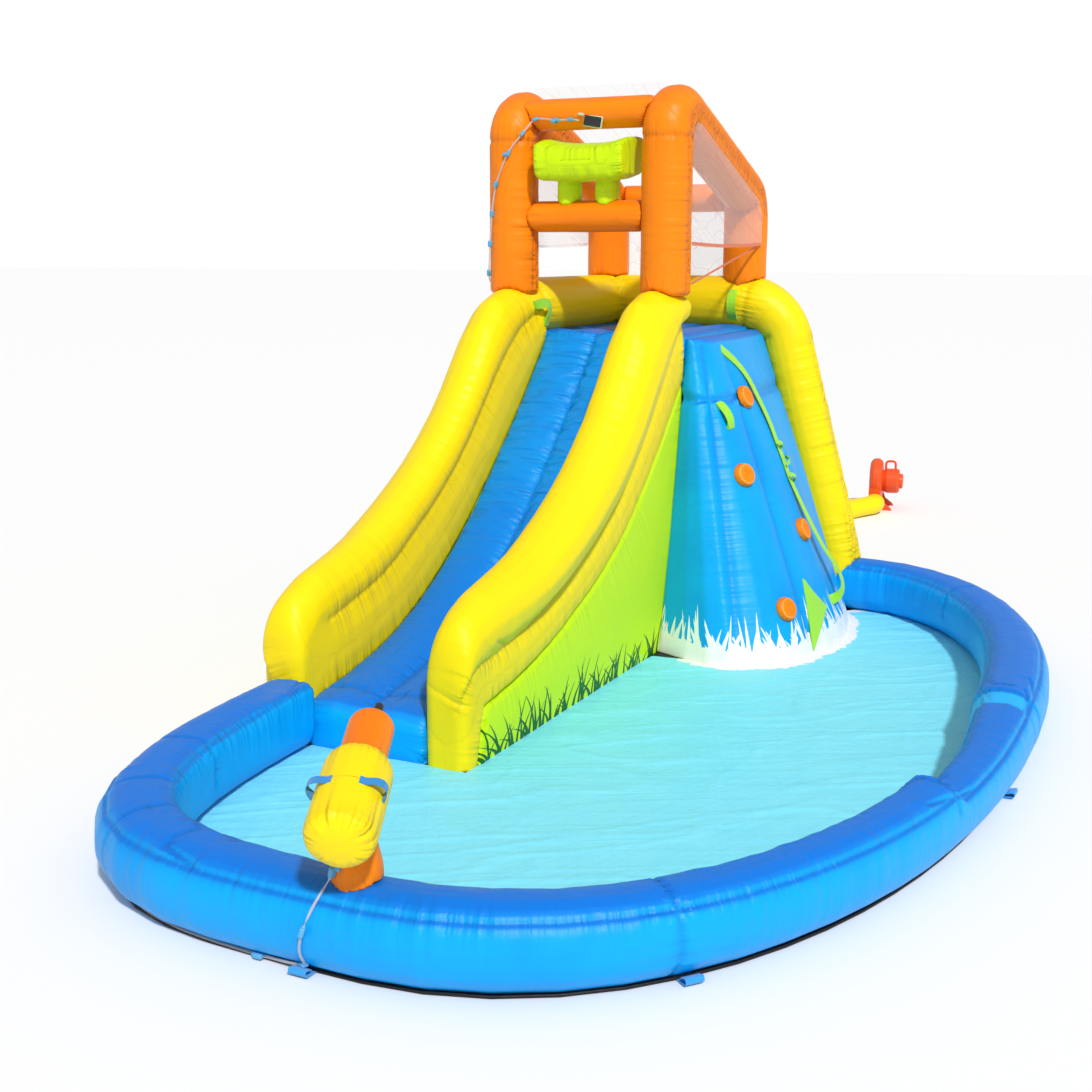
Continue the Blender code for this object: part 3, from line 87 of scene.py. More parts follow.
# Shader helpers
class Nodes:
    # Short calls for building one node tree
    def __init__(self, nodeTree):
        self.tree = nodeTree

    def link(self, value, socket):
        if isinstance(value, bpy.types.NodeSocket):
            self.tree.links.new(value, socket)
        elif value is not None:
            socket.default_value = value

    def math(self, operation, a, b=None, c=None, clamp=False):
        node = self.tree.nodes.new("ShaderNodeMath")
        node.operation = operation
        node.use_clamp = clamp
        for value, socket in zip((a, b, c), node.inputs):
            self.link(value, socket)
        return node.outputs[0]

    def plus(self, a, b):
        return self.math("ADD", a, b)

    def minus(self, a, b, clamp=False):
        return self.math("SUBTRACT", a, b, clamp=clamp)

    def times(self, a, b):
        return self.math("MULTIPLY", a, b)

    def crest(self, value, middle=0.5):
        # How far a value lies from its middle, so that a noise gives thin lines
        return self.math("ABSOLUTE", self.minus(value, middle))

    def combine(self, *axes):
        node = self.tree.nodes.new("ShaderNodeCombineXYZ")
        for value, socket in zip(axes, node.inputs):
            self.link(value, socket)
        return node.outputs[0]

    def noise(self, vector, scale, detail=2.0, rough=0.5, kind="3D"):
        node = self.tree.nodes.new("ShaderNodeTexNoise")
        node.noise_dimensions = kind
        self.link(vector, node.inputs["Vector"])
        node.inputs["Scale"].default_value = scale
        node.inputs["Detail"].default_value = detail
        node.inputs["Roughness"].default_value = rough
        return node.outputs["Fac"]

    def mix(self, share, a, b, blend="MIX"):
        node = self.tree.nodes.new("ShaderNodeMix")
        node.data_type = "RGBA"
        node.blend_type = blend
        self.link(share, node.inputs[0])
        self.link(a, node.inputs[6])
        self.link(b, node.inputs[7])
        return node.outputs[2]

    def attribute(self, name, output):
        node = self.tree.nodes.new("ShaderNodeAttribute")
        node.attribute_name = name
        return node.outputs[output]

    def coordinates(self):
        return self.tree.nodes.new("ShaderNodeTexCoord").outputs["Object"]

    def ramp(self, value, low, high):
        node = self.tree.nodes.new("ShaderNodeMapRange")
        node.interpolation_type = "SMOOTHSTEP"
        self.link(value, node.inputs["Value"])
        self.link(low, node.inputs["From Min"])
        self.link(high, node.inputs["From Max"])
        return node.outputs["Result"]

    def split(self, vector):
        node = self.tree.nodes.new("ShaderNodeSeparateXYZ")
        self.link(vector, node.inputs[0])
        return node.outputs

    def bump(self, height, strength, distance, normal=None):
        node = self.tree.nodes.new("ShaderNodeBump")
        node.inputs["Strength"].default_value = strength
        node.inputs["Distance"].default_value = distance
        self.link(height, node.inputs["Height"])
        self.link(normal, node.inputs["Normal"])
        return node.outputs["Normal"]

    def wire(self, **values):
        # Values and links for the shader's inputs, with _ for the blanks in their names
        shader = self.tree.nodes["Principled BSDF"]
        for name, value in values.items():
            self.link(value, shader.inputs[name.replace("_", " ")])

    def group(self, shared, **values):
        node = self.tree.nodes.new("ShaderNodeGroup")
        node.node_tree = shared
        for name, value in values.items():
            self.link(value, node.inputs[name])
        return node.outputs


def newGroup(name, inputs, outputs):
    shared = bpy.data.node_groups.new(name, "ShaderNodeTree")
    for label, kind in inputs:
        shared.interface.new_socket(label, in_out="INPUT", socket_type=kind)
    for label, kind in outputs:
        shared.interface.new_socket(label, in_out="OUTPUT", socket_type=kind)
    return shared, shared.nodes.new("NodeGroupInput"), shared.nodes.new("NodeGroupOutput"), Nodes(shared)


def makeWeave():
    # Height of a plain weave, from waves along the three axes crossed in pairs
    shared, enter, leave, n = newGroup("weave", [("Vector", "NodeSocketVector"), ("Threads", "NodeSocketFloat")],
                                       [("Height", "NodeSocketFloat")])
    x, y, z = [n.math("SINE", n.times(axis, enter.outputs["Threads"])) for axis in n.split(enter.outputs["Vector"])]
    n.link(n.plus(n.plus(n.times(x, y), n.times(y, z)), n.times(z, x)), leave.inputs["Height"])
    return shared


def makePuckers():
    # Gathers that run out from a seam: foot is the nearest seam point, distance how far it is
    shared, enter, leave, n = newGroup("puckers", [("Foot", "NodeSocketVector"), ("Distance", "NodeSocketFloat")],
                                       [("Height", "NodeSocketFloat"), ("Near", "NodeSocketFloat")])
    foot, distance = enter.outputs["Foot"], enter.outputs["Distance"]
    height = 0.0
    for scale, decay, share in ((24, -7.0, 1.0), (52, -12.0, 0.75), (105, -26.0, 0.4)):
        wave = n.times(n.minus(n.noise(foot, scale, 0.0), 0.5), share)
        height = n.plus(height, n.times(wave, n.math("EXPONENT", n.times(distance, decay))))
    n.link(height, leave.inputs["Height"])
    n.link(n.math("EXPONENT", n.times(distance, -60.0)), leave.inputs["Near"])
    return shared


def makeBlade():
    # One row of pointed, leaning blades along U, up to a height over H
    inputs = [(name, "NodeSocketFloat") for name in ("U", "H", "Cell", "Tall", "Thick", "Lean", "Seed")]
    shared, enter, leave, n = newGroup("blade", inputs, [("Mask", "NodeSocketFloat")])
    u, h, cell, tall, thick, lean, seed = enter.outputs[:7]
    place = n.plus(n.math("DIVIDE", u, cell), seed)
    index = n.math("FLOOR", place)
    side = n.minus(n.minus(place, index), 0.5)

    def chance(shift):
        node = shared.nodes.new("ShaderNodeTexWhiteNoise")
        node.noise_dimensions = "1D"
        n.link(n.plus(index, n.times(seed, shift)), node.inputs["W"])
        return node.outputs["Value"]

    height = n.times(tall, n.math("MULTIPLY_ADD", chance(17.3), 0.7, 0.3))
    rise = n.math("DIVIDE", h, height, clamp=True)
    bend = n.times(n.times(n.minus(chance(5.9), 0.5), lean), n.math("POWER", rise, 1.7))
    off = n.math("ABSOLUTE", n.minus(side, bend))
    wide = n.times(thick, n.math("POWER", n.minus(1.0, rise), 0.8))
    n.link(n.math("LESS_THAN", off, wide), leave.inputs["Mask"])
    return shared


weave, puckers, blade = makeWeave(), makePuckers(), makeBlade()


def makeMaterial(name):
    material = bpy.data.materials.new(name)
    material.use_nodes = True
    return material, Nodes(material.node_tree)


# Each cloth as (side colour, top colour). clothMaterial lays the top colour on upward faces as painted shade, and as
# painted light for the aqua, whose top is lighter; laidMaterial mixes the two at random
cloth = {
    "yellow": ((0.93, 0.71, 0.003), (0.90, 0.66, 0.003)), "blue": ((0.0, 0.36, 0.86), (0.0, 0.165, 0.66)),
    "orange": ((0.93, 0.235, 0.003), (0.88, 0.18, 0.002)), "lime": ((0.60, 0.84, 0.003), (0.54, 0.80, 0.003)),
    "aqua": ((0.18, 0.68, 0.84), (0.22, 0.74, 0.88)), "black": ((0.012, 0.012, 0.014), (0.012, 0.012, 0.014))}

patterns = {
    "splash": {"colour": (0.80, 0.82, 0.83, 1), "band": 0.085, "ragged": 0.12,
               "blades": {"rows": 9, "cell": 0.070, "tall": 0.30, "thick": 0.17, "lean": 1.9}},
    "foam": {"colour": (0.80, 0.82, 0.83, 1), "band": 0.042, "ragged": 0.07},
    "grass": {"colour": (0.012, 0.125, 0.014, 1),
              "blades": {"rows": 8, "cell": 0.135, "tall": 0.23, "thick": 0.066, "lean": 1.7}},
    # A foot hold: a pale stitched ring, and painted shade as dark lines in its creased middle
    "hold": {"ring": 0.045, "ringColour": (0.95, 0.45, 0.16, 1), "ringShare": 0.6,
             "pinchShadeColour": (0.42, 0.04, 0.002, 1), "pinchShadeShare": 0.55},
    "wall": {"colour": (0.01, 0.46, 0.95, 1), "share": 0.85},
    "bed": {"stretch": (2.6, 11.0, 11.0), "line": 0.16, "from": 0.42, "full": 0.85, "bump": (0.60, 0.018)}}
surface = {"paintedTopFrom": 0.45, "paintedTopFull": 0.93, "patchScale": 2.3, "patchShare": 0.30, "seamShare": 0.35,
           "seamDark": 0.60, "raggedScale": 26, "threads": 3600.0, "threadBump": (0.10, 0.0004),
           "softScale": 5.5, "softBump": (0.30, 0.012), "gatherDepth": 0.014}
# Long creases as (turn, cells along, cells across, share)
creaseForms = ((0.5, 1.1, 9.0, 1.0), (2.0, 1.3, 12.0, 0.8), (1.2, 1.6, 17.0, 0.5), (2.7, 2.5, 26.0, 0.3))


def blades(n, u, h, rows, cell, tall, thick, lean):
    # The union of several rows of blades
    mask = 0.0
    for k in range(rows):
        row = n.group(blade, U=u, H=h, Cell=cell * (1 + 0.13 * k), Tall=tall * (1 - 0.06 * k), Thick=thick,
                      Lean=lean, Seed=0.37 + 1.61 * k)["Mask"]
        mask = n.math("MAXIMUM", mask, row)
    return mask


def below(n, place, h, form):
    # A band with a ragged edge, up to a height over H
    edge = n.minus(n.noise(place, surface["raggedScale"], 2.0), 0.5)
    return n.math("LESS_THAN", h, n.math("MULTIPLY_ADD", edge, form["ragged"], form["band"]))


def threaded(n, place, relief):
    # The cloth's thread over coarser relief
    threads = n.group(weave, Vector=place, Threads=surface["threads"])["Height"]
    return n.bump(threads, *surface["threadBump"], relief)


def printedAndShaded(n, place, tint, pattern):
    # What is printed or drawn on the cloth over its own colour, and the painted shade in a foot hold's creased middle
    form = patterns[pattern]
    u, h = n.attribute("patternU", "Fac"), n.attribute("patternH", "Fac")
    if pattern == "splash":
        mask = blades(n, u, h, **form["blades"])
        return n.mix(n.math("MAXIMUM", mask, below(n, place, h, form)), tint, form["colour"])
    if pattern == "hold":
        ring = n.ramp(n.crest(h, form["ring"]), 0.0035, 0.0015)
        tint = n.mix(n.times(ring, form["ringShare"]), tint, form["ringColour"])
        # Painted shade: thin dark lines in the hold's middle, where its dimple is creased
        pinchShade = n.times(n.ramp(n.crest(n.noise(place, 34, 0.0)), 0.05, 0.0), n.ramp(h, 0.034, 0.010))
        return n.mix(n.times(pinchShade, form["pinchShadeShare"]), tint, form["pinchShadeColour"])
    if pattern == "wall":
        return n.mix(n.times(h, form["share"]), tint, form["colour"])
    if pattern == "grass":
        return n.mix(blades(n, u, h, **form["blades"]), tint, form["colour"])
    return n.mix(below(n, place, h, form), tint, form["colour"])


def clothMaterial(name, colour, pattern=None, gathers=1.0):
    # Coated polyester: thread, gathers at the seams, soft wrinkles, and painted shade that gives its upper sides a
    # second tone, deeper for most cloths
    material, n = makeMaterial(name)
    place = n.coordinates()
    gather = n.group(puckers, Foot=n.attribute("seamFoot", "Vector"), Distance=n.attribute("seamDistance", "Fac"))
    side, top = [tone + (1,) for tone in colour]
    # Painted shade: faces that point up take the top colour, by the height of their normal
    facing = n.split(material.node_tree.nodes.new("ShaderNodeNewGeometry").outputs["Normal"])[2]
    tint = n.mix(n.ramp(facing, surface["paintedTopFrom"], surface["paintedTopFull"]), side, top)
    patch = n.ramp(n.noise(place, surface["patchScale"], 3.0), 0.45, 0.75)
    tint = n.mix(n.times(patch, surface["patchShare"]), tint, top)
    dark = tuple(surface["seamDark"] * c for c in colour[1]) + (1,)
    tint = n.mix(n.times(gather["Near"], surface["seamShare"]), tint, dark)
    if pattern and pattern != "bed":
        tint = printedAndShaded(n, place, tint, pattern)
    relief = n.bump(n.noise(place, surface["softScale"], 3.0, 0.55), *surface["softBump"])
    if pattern == "bed":
        form = patterns[pattern]
        axes = n.split(place)
        drawn = n.combine(*[n.times(axis, scale) for axis, scale in zip(axes, form["stretch"])])
        fold = n.ramp(n.crest(n.noise(drawn, 1.0, 2.0, 0.45)), form["line"], 0.0)
        relief = n.bump(n.times(fold, n.ramp(axes[2], form["from"], form["full"])), *form["bump"], relief)
    relief = n.bump(gather["Height"], gathers, surface["gatherDepth"], relief)
    rough = n.math("MULTIPLY_ADD", n.noise(place, 14, 3.0), 0.12, 0.34)
    n.wire(Base_Color=tint, Roughness=rough, Specular_IOR_Level=0.21, Normal=threaded(n, place, relief))
    return material


def laidMaterial(name, colour, pattern=None):
    # Sheeting that lies on the ground, drawn into long fine creases
    material, n = makeMaterial(name)
    place = n.coordinates()
    x, y, z = n.split(place)
    tint = n.mix(n.noise(place, 6.0, 4.0), colour[0] + (1,), colour[1] + (1,))
    if pattern:
        tint = printedAndShaded(n, place, tint, pattern)
    height = 0.0
    for turn, long, fine, share in creaseForms:
        c, s = math.cos(turn), math.sin(turn)
        along = n.plus(n.times(x, long * c), n.times(y, long * s))
        cross = n.plus(n.times(x, -fine * s), n.times(y, fine * c))
        ridge = n.times(n.crest(n.noise(n.combine(along, cross, turn * 7), 1.0, 2.0, 0.5)), 4.0)
        ridge = n.math("POWER", n.minus(1.0, ridge, clamp=True), 2.5)
        height = n.plus(height, n.times(ridge, share))
    relief = threaded(n, place, n.bump(height, 0.40, 0.004))
    n.wire(Base_Color=tint, Roughness=0.45, Specular_IOR_Level=0.22, Normal=relief)
    return material


def netMaterial(name, colour, cell, thread, cover, strong):
    # Knotless mesh: threads round small holes, drawn into thin pinkish folds down its slope
    material, n = makeMaterial(name)
    x, y, z = n.split(n.coordinates())
    across, leaning = n.plus(x, y), n.times(z, 0.6)
    one = n.math("PINGPONG", n.plus(across, leaning), cell / 2)
    two = n.math("PINGPONG", n.minus(across, leaning), cell / 2)
    near = n.math("LESS_THAN", n.math("MINIMUM", one, two), thread)
    down = n.minus(n.times(y, 0.92), n.times(z, 0.39))
    over = n.plus(n.times(y, 0.39), n.times(z, 0.92))
    drawn = n.combine(n.times(down, 1.3), n.times(over, 13.0), n.times(x, 9.0))
    fold = n.ramp(n.crest(n.noise(drawn, 1.0, 1.0)), 0.035, 0.0)
    threads = n.math("MAXIMUM", n.times(near, strong), cover)
    n.wire(Base_Color=n.mix(fold, colour, (0.78, 0.55, 0.55, 1)), Roughness=0.8, Specular_IOR_Level=0.1,
           Alpha=n.math("MAXIMUM", threads, n.times(fold, 0.7 * strong)))
    return material


def webbingMaterial(name, colour):
    material, n = makeMaterial(name)
    place = n.coordinates()
    ribs = n.group(weave, Vector=place, Threads=2100.0)["Height"]
    # Painted shade in the weave's hollows: where the ribs are low the colour goes down to 0.8 of itself
    tint = n.mix(n.ramp(ribs, -1.2, 1.6), tuple(0.80 * c for c in colour) + (1,), colour + (1,))
    n.wire(Base_Color=tint, Roughness=0.62, Sheen_Weight=0.25, Normal=n.bump(ribs, 0.5, 0.0008))
    return material


def plasticMaterial(name, colour, roughness, speckle=0.10):
    material, n = makeMaterial(name)
    place = n.coordinates()
    worn = n.times(n.noise(place, 18, 4.0, 0.6), speckle * 2)
    tint = n.mix(worn, colour + (1,), tuple(min(1.0, 1.35 * c + 0.03) for c in colour) + (1,))
    rough = n.math("MULTIPLY_ADD", n.noise(place, 60, 3.0), 0.16, roughness - 0.08)
    n.wire(Base_Color=tint, Roughness=rough, Normal=n.bump(n.noise(place, 900, 2.0), 0.12, 0.0005))
    return material


def hoseMaterial():
    # Pale see-through vinyl
    material, n = makeMaterial("vinylHose")
    place = n.coordinates()
    tint = n.mix(n.noise(place, 25, 3.0), (0.50, 0.52, 0.58, 1), (0.68, 0.66, 0.70, 1))
    clear = n.math("MULTIPLY_ADD", n.noise(place, 40, 2.0), 0.25, 0.38)
    n.wire(Base_Color=tint, Alpha=clear, Roughness=0.22, Normal=n.bump(n.noise(place, 120, 2.0), 0.2, 0.0006))
    return material


materials = {name: clothMaterial(name + "Cloth", colour) for name, colour in cloth.items()}
for pattern, name, colour, gathers in (("splash", "blueClothWithSplash", "blue", 0.4),
                                       ("wall", "blueWallCloth", "blue", 0.6),
                                       ("grass", "limeClothWithGrass", "lime", 0.5),
                                       ("hold", "orangeHoldCloth", "orange", 1.0),
                                       ("bed", "blueBedCloth", "blue", 0.8)):
    materials[pattern] = clothMaterial(name, cloth[colour], pattern, gathers)
materials["foam"] = laidMaterial("aquaClothWithFoam", cloth["aqua"], "foam")
materials["black"] = laidMaterial("blackSheet", cloth["black"])
materials["net"] = netMaterial("whiteNet", (0.86, 0.80, 0.80, 1), 0.007, 0.0006, 0.17, 0.50)
materials["roofNet"] = netMaterial("thinWhiteNet", (0.92, 0.86, 0.86, 1), 0.007, 0.0005, 0.015, 0.16)
materials["hose"] = hoseMaterial()
for name, colour in (("limeWebbing", (0.38, 0.88, 0.01)), ("blueWebbing", (0.004, 0.27, 0.72)),
                     ("azureWebbing", (0.01, 0.38, 0.86)), ("orangeBinding", (0.82, 0.13, 0.01))):
    materials[name] = webbingMaterial(name, colour)
for name, colour, roughness in (("blueClip", (0.09, 0.36, 0.62), 0.5), ("paleRim", (0.52, 0.60, 0.42), 0.45),
                                ("blackPlastic", (0.014, 0.016, 0.016), 0.42),
                                ("greyPlastic", (0.09, 0.09, 0.10), 0.45),
                                ("orangePlastic", (0.72, 0.075, 0.006), 0.34)):
    materials[name] = plasticMaterial(name, colour, roughness)
print("materials made")


# Mesh helpers
def select(*items):
    bpy.ops.object.select_all(action="DESELECT")
    for item in items:
        item.select_set(True)
    bpy.context.view_layer.objects.active = items[0]


def edited(operator, **values):
    # One edit-mode operator on the whole of the active mesh
    bpy.ops.object.mode_set(mode="EDIT")
    bpy.ops.mesh.select_all(action="SELECT")
    operator(**values)
    bpy.ops.object.mode_set(mode="OBJECT")


def opened(data):
    mesh = bmesh.new()
    mesh.from_mesh(data)
    return mesh


def closed(mesh, data):
    mesh.to_mesh(data)
    mesh.free()


def linked(name, mesh):
    # A finished mesh as an object of its own
    data = bpy.data.meshes.new(name)
    closed(mesh, data)
    item = bpy.data.objects.new(name, data)
    bpy.context.scene.collection.objects.link(item)
    return item


def copyOf(names, name):
    # One object with the shapes of the named CAD nodes
    copies = []
    for node in names:
        item = nodes[node].copy()
        item.data = nodes[node].data.copy()
        item.parent = None
        for key in list(item.keys()):
            del item[key]
        bpy.context.scene.collection.objects.link(item)
        copies.append(item)
    select(*copies)
    if len(copies) > 1:
        bpy.ops.object.join()
    item = bpy.context.view_layer.objects.active
    item.name = name
    item.data.name = name
    item.data.materials.clear()
    edited(bpy.ops.mesh.remove_doubles, threshold=0.00002)
    return item


def applied(item, kind, **values):
    select(item)
    modifier = item.modifiers.new(kind.lower(), kind)
    for key, value in values.items():
        setattr(modifier, key, value)
    bpy.ops.object.modifier_apply(modifier=modifier.name)


def noise3(points, seed):
    # Smooth random values from -1 to 1, one cell to a unit
    size = 32
    table = np.random.RandomState(seed).uniform(-1, 1, (size, size, size))
    cell = np.floor(points).astype(int)
    part = points - cell
    part = part * part * (3 - 2 * part)
    total = np.zeros(len(points))
    for corner in np.ndindex(2, 2, 2):
        share = np.abs(1 - np.array(corner) - part).prod(axis=1)
        total += share * table[tuple((cell + corner).T % size)]
    return total


def pointsOf(item, kind="co"):
    flat = np.zeros(len(item.data.vertices) * 3)
    item.data.vertices.foreach_get(kind, flat)
    return flat.reshape(-1, 3)


def store(item, name, values, kind="FLOAT"):
    attribute = item.data.attributes.new(name, kind, "POINT")
    attribute.data.foreach_set("vector" if kind == "FLOAT_VECTOR" else "value", values.astype(np.float32).ravel())


def finished(item, material, body, replaced=(), angle=None):
    # Material, shading and body of a visible piece; an angle of 0 leaves its faces flat
    item.data.materials.append(materials[material])
    select(item)
    if angle is None:
        bpy.ops.object.shade_smooth()
    elif angle:
        bpy.ops.object.shade_smooth_by_angle(angle=math.radians(angle))
    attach(item, body)
    if replaced:
        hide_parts(*replaced)
    return item


def shaped(add, name, across, turn, place, width, **values):
    # A primitive at its size and place, with rounded edges
    bpy.ops.object.select_all(action="DESELECT")
    add(**values)
    item = bpy.context.active_object
    item.name = name
    item.scale = across
    item.rotation_euler = turn
    item.location = place
    bpy.ops.object.transform_apply(location=True, rotation=True, scale=True)
    applied(item, "BEVEL", width=width, segments=3)
    return item


def ribbon(name, rings, material):
    # A flat tape through a row of (middle, half thickness, half width) sections, closed at both ends
    mesh = bmesh.new()
    loops = [[mesh.verts.new(point + thick * i + wide * j) for i, j in ((1, 1), (-1, 1), (-1, -1), (1, -1))]
             for point, thick, wide in rings]
    for first, second in zip(loops, loops[1:]):
        for k in range(4):
            mesh.faces.new((first[k], first[(k + 1) % 4], second[(k + 1) % 4], second[k]))
    mesh.faces.new(loops[0][::-1])
    mesh.faces.new(loops[-1])
    bmesh.ops.recalc_face_normals(mesh, faces=mesh.faces[:])
    return finished(linked(name, mesh), material, "base", angle=0)


def seamEdges(item, hollow=8, sharp=55, extra=None):
    # End points of the edges where panels meet: hollow or sharp ones, and those an extra test picks
    mesh = opened(item.data)
    mesh.normal_update()
    found = []
    for edge in mesh.edges:
        if len(edge.link_faces) != 2:
            continue
        a, b = edge.verts
        angle = edge.calc_face_angle_signed(0.0)
        chosen = angle < -math.radians(hollow) or angle > math.radians(sharp)
        if not chosen and extra:
            chosen = extra((a.co + b.co) / 2, (a.normal + b.normal).normalized(), (b.co - a.co).normalized())
        if chosen:
            found.append((a.co.copy(), b.co.copy()))
    mesh.free()
    return found


def samplesOf(edges, step=0.004):
    points = []
    for a, b in edges:
        count = max(1, int((b - a).length / step))
        points += [a.lerp(b, (k + 0.5) / count) for k in range(count)]
    return points


def finderOf(points):
    finder = KDTree(len(points))
    for k, point in enumerate(points):
        finder.insert(point, k)
    finder.balance()
    return finder


def seamField(points, co):
    # Nearest seam point and its distance for each vertex
    finder = finderOf(points)
    foot = np.zeros_like(co)
    distance = np.zeros(len(co))
    for k, point in enumerate(co):
        near, index, far = finder.find(point)
        foot[k] = near
        distance[k] = far
    return foot, distance


def fadeBetween(item, foot, distance, voxel):
    # Halfway between two seams the nearest one changes: there the gathers fade out
    ends = np.zeros(len(item.data.edges) * 2, int)
    item.data.edges.foreach_get("vertices", ends)
    a, b = ends[::2], ends[1::2]
    broken = np.linalg.norm(foot[a] - foot[b], axis=1) > 2.5 * voxel
    count = len(distance)
    mask = np.ones(count)
    mask[a[broken]] = 0
    mask[b[broken]] = 0
    degree = 1 + np.bincount(a, minlength=count) + np.bincount(b, minlength=count)
    for k in range(12):
        around = np.bincount(a, weights=mask[b], minlength=count) + np.bincount(b, weights=mask[a], minlength=count)
        blurred = (mask + around) / degree
        mask = np.minimum(mask, blurred) if k < 4 else blurred
    return distance + (1 - mask) * 0.30 * np.clip((distance - 0.010) / 0.03, 0, 1)


def deepen(item, low):
    # The underside of a piece on the ground goes down before smoothing, so that its foot stays square
    for vertex in item.data.vertices:
        if vertex.co.z < low + 0.002:
            vertex.co.z -= 0.04


def level(item, low):
    # Afterwards the foot is cut level again
    mesh = opened(item.data)
    bmesh.ops.bisect_plane(mesh, geom=mesh.verts[:] + mesh.edges[:] + mesh.faces[:], plane_co=(0, 0, low),
                           plane_no=(0, 0, 1), clear_inner=True)
    rim = [edge for edge in mesh.edges if edge.is_boundary]
    bmesh.ops.holes_fill(mesh, edges=rim)
    bmesh.ops.triangulate(mesh, faces=[face for face in mesh.faces if len(face.verts) > 4])
    closed(mesh, item.data)


# Cells to a metre, shares and lengths in metres of the relief that all padded pieces have
padding = {"softCells": 5.5, "softFrom": 0.10, "fineCells": 26, "broadCells": 13, "broadShare": 0.8,
           "broadReach": 2.2, "start": 0.008, "least": 0.2, "onGround": 0.01, "foot": 0.012, "farthest": 0.5}


def skin(name, names, body, slot, material, voxel=0.010, rounds=10, crease=0.006, width=0.016, gather=0.0022,
         reach=0.045, soft=0.0015, swell=0.002, seed=1, hollow=8, sharp=55, extra=None, shape=None, lines=()):
    # An inflated piece over the named CAD nodes: fused, smoothed, drawn in and gathered at its seams
    item = copyOf(names, name)
    edges = seamEdges(item, hollow, sharp, extra)
    low = pointsOf(item)[:, 2].min()
    grounded = low < padding["onGround"]
    if grounded:
        deepen(item, low)
        edges = [edge for edge in edges if max(edge[0].z, edge[1].z) > low + 0.002]
    applied(item, "REMESH", mode="VOXEL", voxel_size=voxel, adaptivity=0.0)
    applied(item, "SMOOTH", factor=0.5, iterations=rounds)
    if grounded:
        level(item, low)
    points = samplesOf(edges) + list(lines)
    if shape:
        item.data.vertices.foreach_set("co", shape(pointsOf(item)).ravel())
        item.data.update()
        points = [Vector(point) for point in shape(np.array(points))] if points else points
    co, normal = pointsOf(item), pointsOf(item, "normal")
    if points:
        foot, distance = seamField(points, co)
        distance = fadeBetween(item, foot, distance, voxel)
    else:
        foot, distance = co.copy(), np.full(len(co), 1.0)
    lift = swell + soft * noise3(co * padding["softCells"], seed) * np.clip(distance / padding["softFrom"], 0, 1)
    lift -= crease * np.exp(-(distance / width) ** 2)
    ridges = noise3(foot * padding["fineCells"], seed + 1) * np.exp(-distance / reach)
    broad = noise3(foot * padding["broadCells"], seed + 2) * np.exp(-distance / (padding["broadReach"] * reach))
    ridges += padding["broadShare"] * broad
    lift += gather * ridges * np.clip(distance / padding["start"], padding["least"], 1)
    co = co + normal * lift[:, None]
    if grounded:
        co[:, 2] = np.where(co[:, 2] < low + padding["foot"], np.maximum(co[:, 2], low), co[:, 2])
    item.data.vertices.foreach_set("co", co.ravel())
    store(item, "seamFoot", foot, "FLOAT_VECTOR")
    store(item, "seamDistance", np.minimum(distance, padding["farthest"]))
    finished(item, material, body, names)
    item.data.update()
    print(name, len(item.data.polygons))
    return item


webbing = {"thin": 0.0045, "sheetTop": 0.0045, "hard": 58, "levels": 2}


def widen(item, reach):
    # Webbing grows at its two edges, which are its thin faces
    mesh = opened(item.data)
    mesh.normal_update()
    moves = {}
    for face in mesh.faces:
        longest = max(edge.calc_length() for edge in face.edges)
        if 2 * face.calc_area() / longest < webbing["thin"]:
            for vertex in face.verts:
                moves.setdefault(vertex, Vector())
                moves[vertex] += face.normal
    for vertex, move in moves.items():
        if move.length > 0.1:
            vertex.co += move.normalized() * reach
    closed(mesh, item.data)


def strap(name, node, body, material, wider=0.0, lifted=1.0):
    # Webbing: the CAD strap with its edges kept and its bends rounded
    item = copyOf([node], name)
    if lifted > 1:
        for vertex in item.data.vertices:
            over = vertex.co.z - webbing["sheetTop"]
            vertex.co.z = webbing["sheetTop"] + over * (lifted if over > 0 else 1)
    if wider:
        widen(item, wider)
    edited(bpy.ops.mesh.tris_convert_to_quads, face_threshold=math.radians(50), shape_threshold=math.radians(60))
    mesh = opened(item.data)
    hard = mesh.edges.layers.float.get("crease_edge") or mesh.edges.layers.float.new("crease_edge")
    for edge in mesh.edges:
        if len(edge.link_faces) == 2 and edge.calc_face_angle(0.0) > math.radians(webbing["hard"]):
            edge[hard] = 1.0
    closed(mesh, item.data)
    applied(item, "SUBSURF", levels=webbing["levels"], render_levels=webbing["levels"])
    return finished(item, material, body, [node], 40)


clip = {"ringSide": 0.0088, "size": (0.030, 0.021, 0.015), "rounding": 0.004, "apart": 0.024}


def hose(name, node):
    # A round hose over the six-sided CAD one, and the clips that hold it as pieces of their own
    item = copyOf([node], name)
    edited(bpy.ops.mesh.tris_convert_to_quads, face_threshold=math.radians(60), shape_threshold=math.radians(70))
    counts = np.zeros(len(item.data.vertices), int)
    for edge in item.data.edges:
        a, b = edge.vertices
        length = (item.data.vertices[a].co - item.data.vertices[b].co).length
        if abs(length - clip["ringSide"]) < 0.0002:
            counts[a] += 1
            counts[b] += 1
    groups = []
    for point in pointsOf(item)[counts >= 2]:
        for group in groups:
            if np.linalg.norm(np.mean(group, axis=0) - point) < clip["apart"]:
                group.append(point)
                break
        else:
            groups.append([point])
    applied(item, "SUBSURF", levels=2, render_levels=2)
    finished(item, "hose", "base", [node], 50)
    for k, group in enumerate(groups):
        points = np.array(group)
        centre = points.mean(0)
        way = np.linalg.svd(points - centre)[2][0]
        held = shaped(bpy.ops.mesh.primitive_cube_add, f"{name}Clip{k + 1}", clip["size"],
                      Vector(way).to_track_quat("X", "Z").to_euler(), centre, clip["rounding"], size=1)
        finished(held, "blueClip", "base")


def solid(node, material, edge=0.0012, angle=32):
    # A hard CAD piece keeps its mesh and gets its material and rounded edges
    item = nodes[node]
    item.data.materials.clear()
    item.data.materials.append(materials[material])
    rounding = item.modifiers.new("edges", "BEVEL")
    rounding.width = edge
    rounding.segments = 2
    rounding.limit_method = "ANGLE"
    rounding.angle_limit = math.radians(angle)
    rounding.harden_normals = False


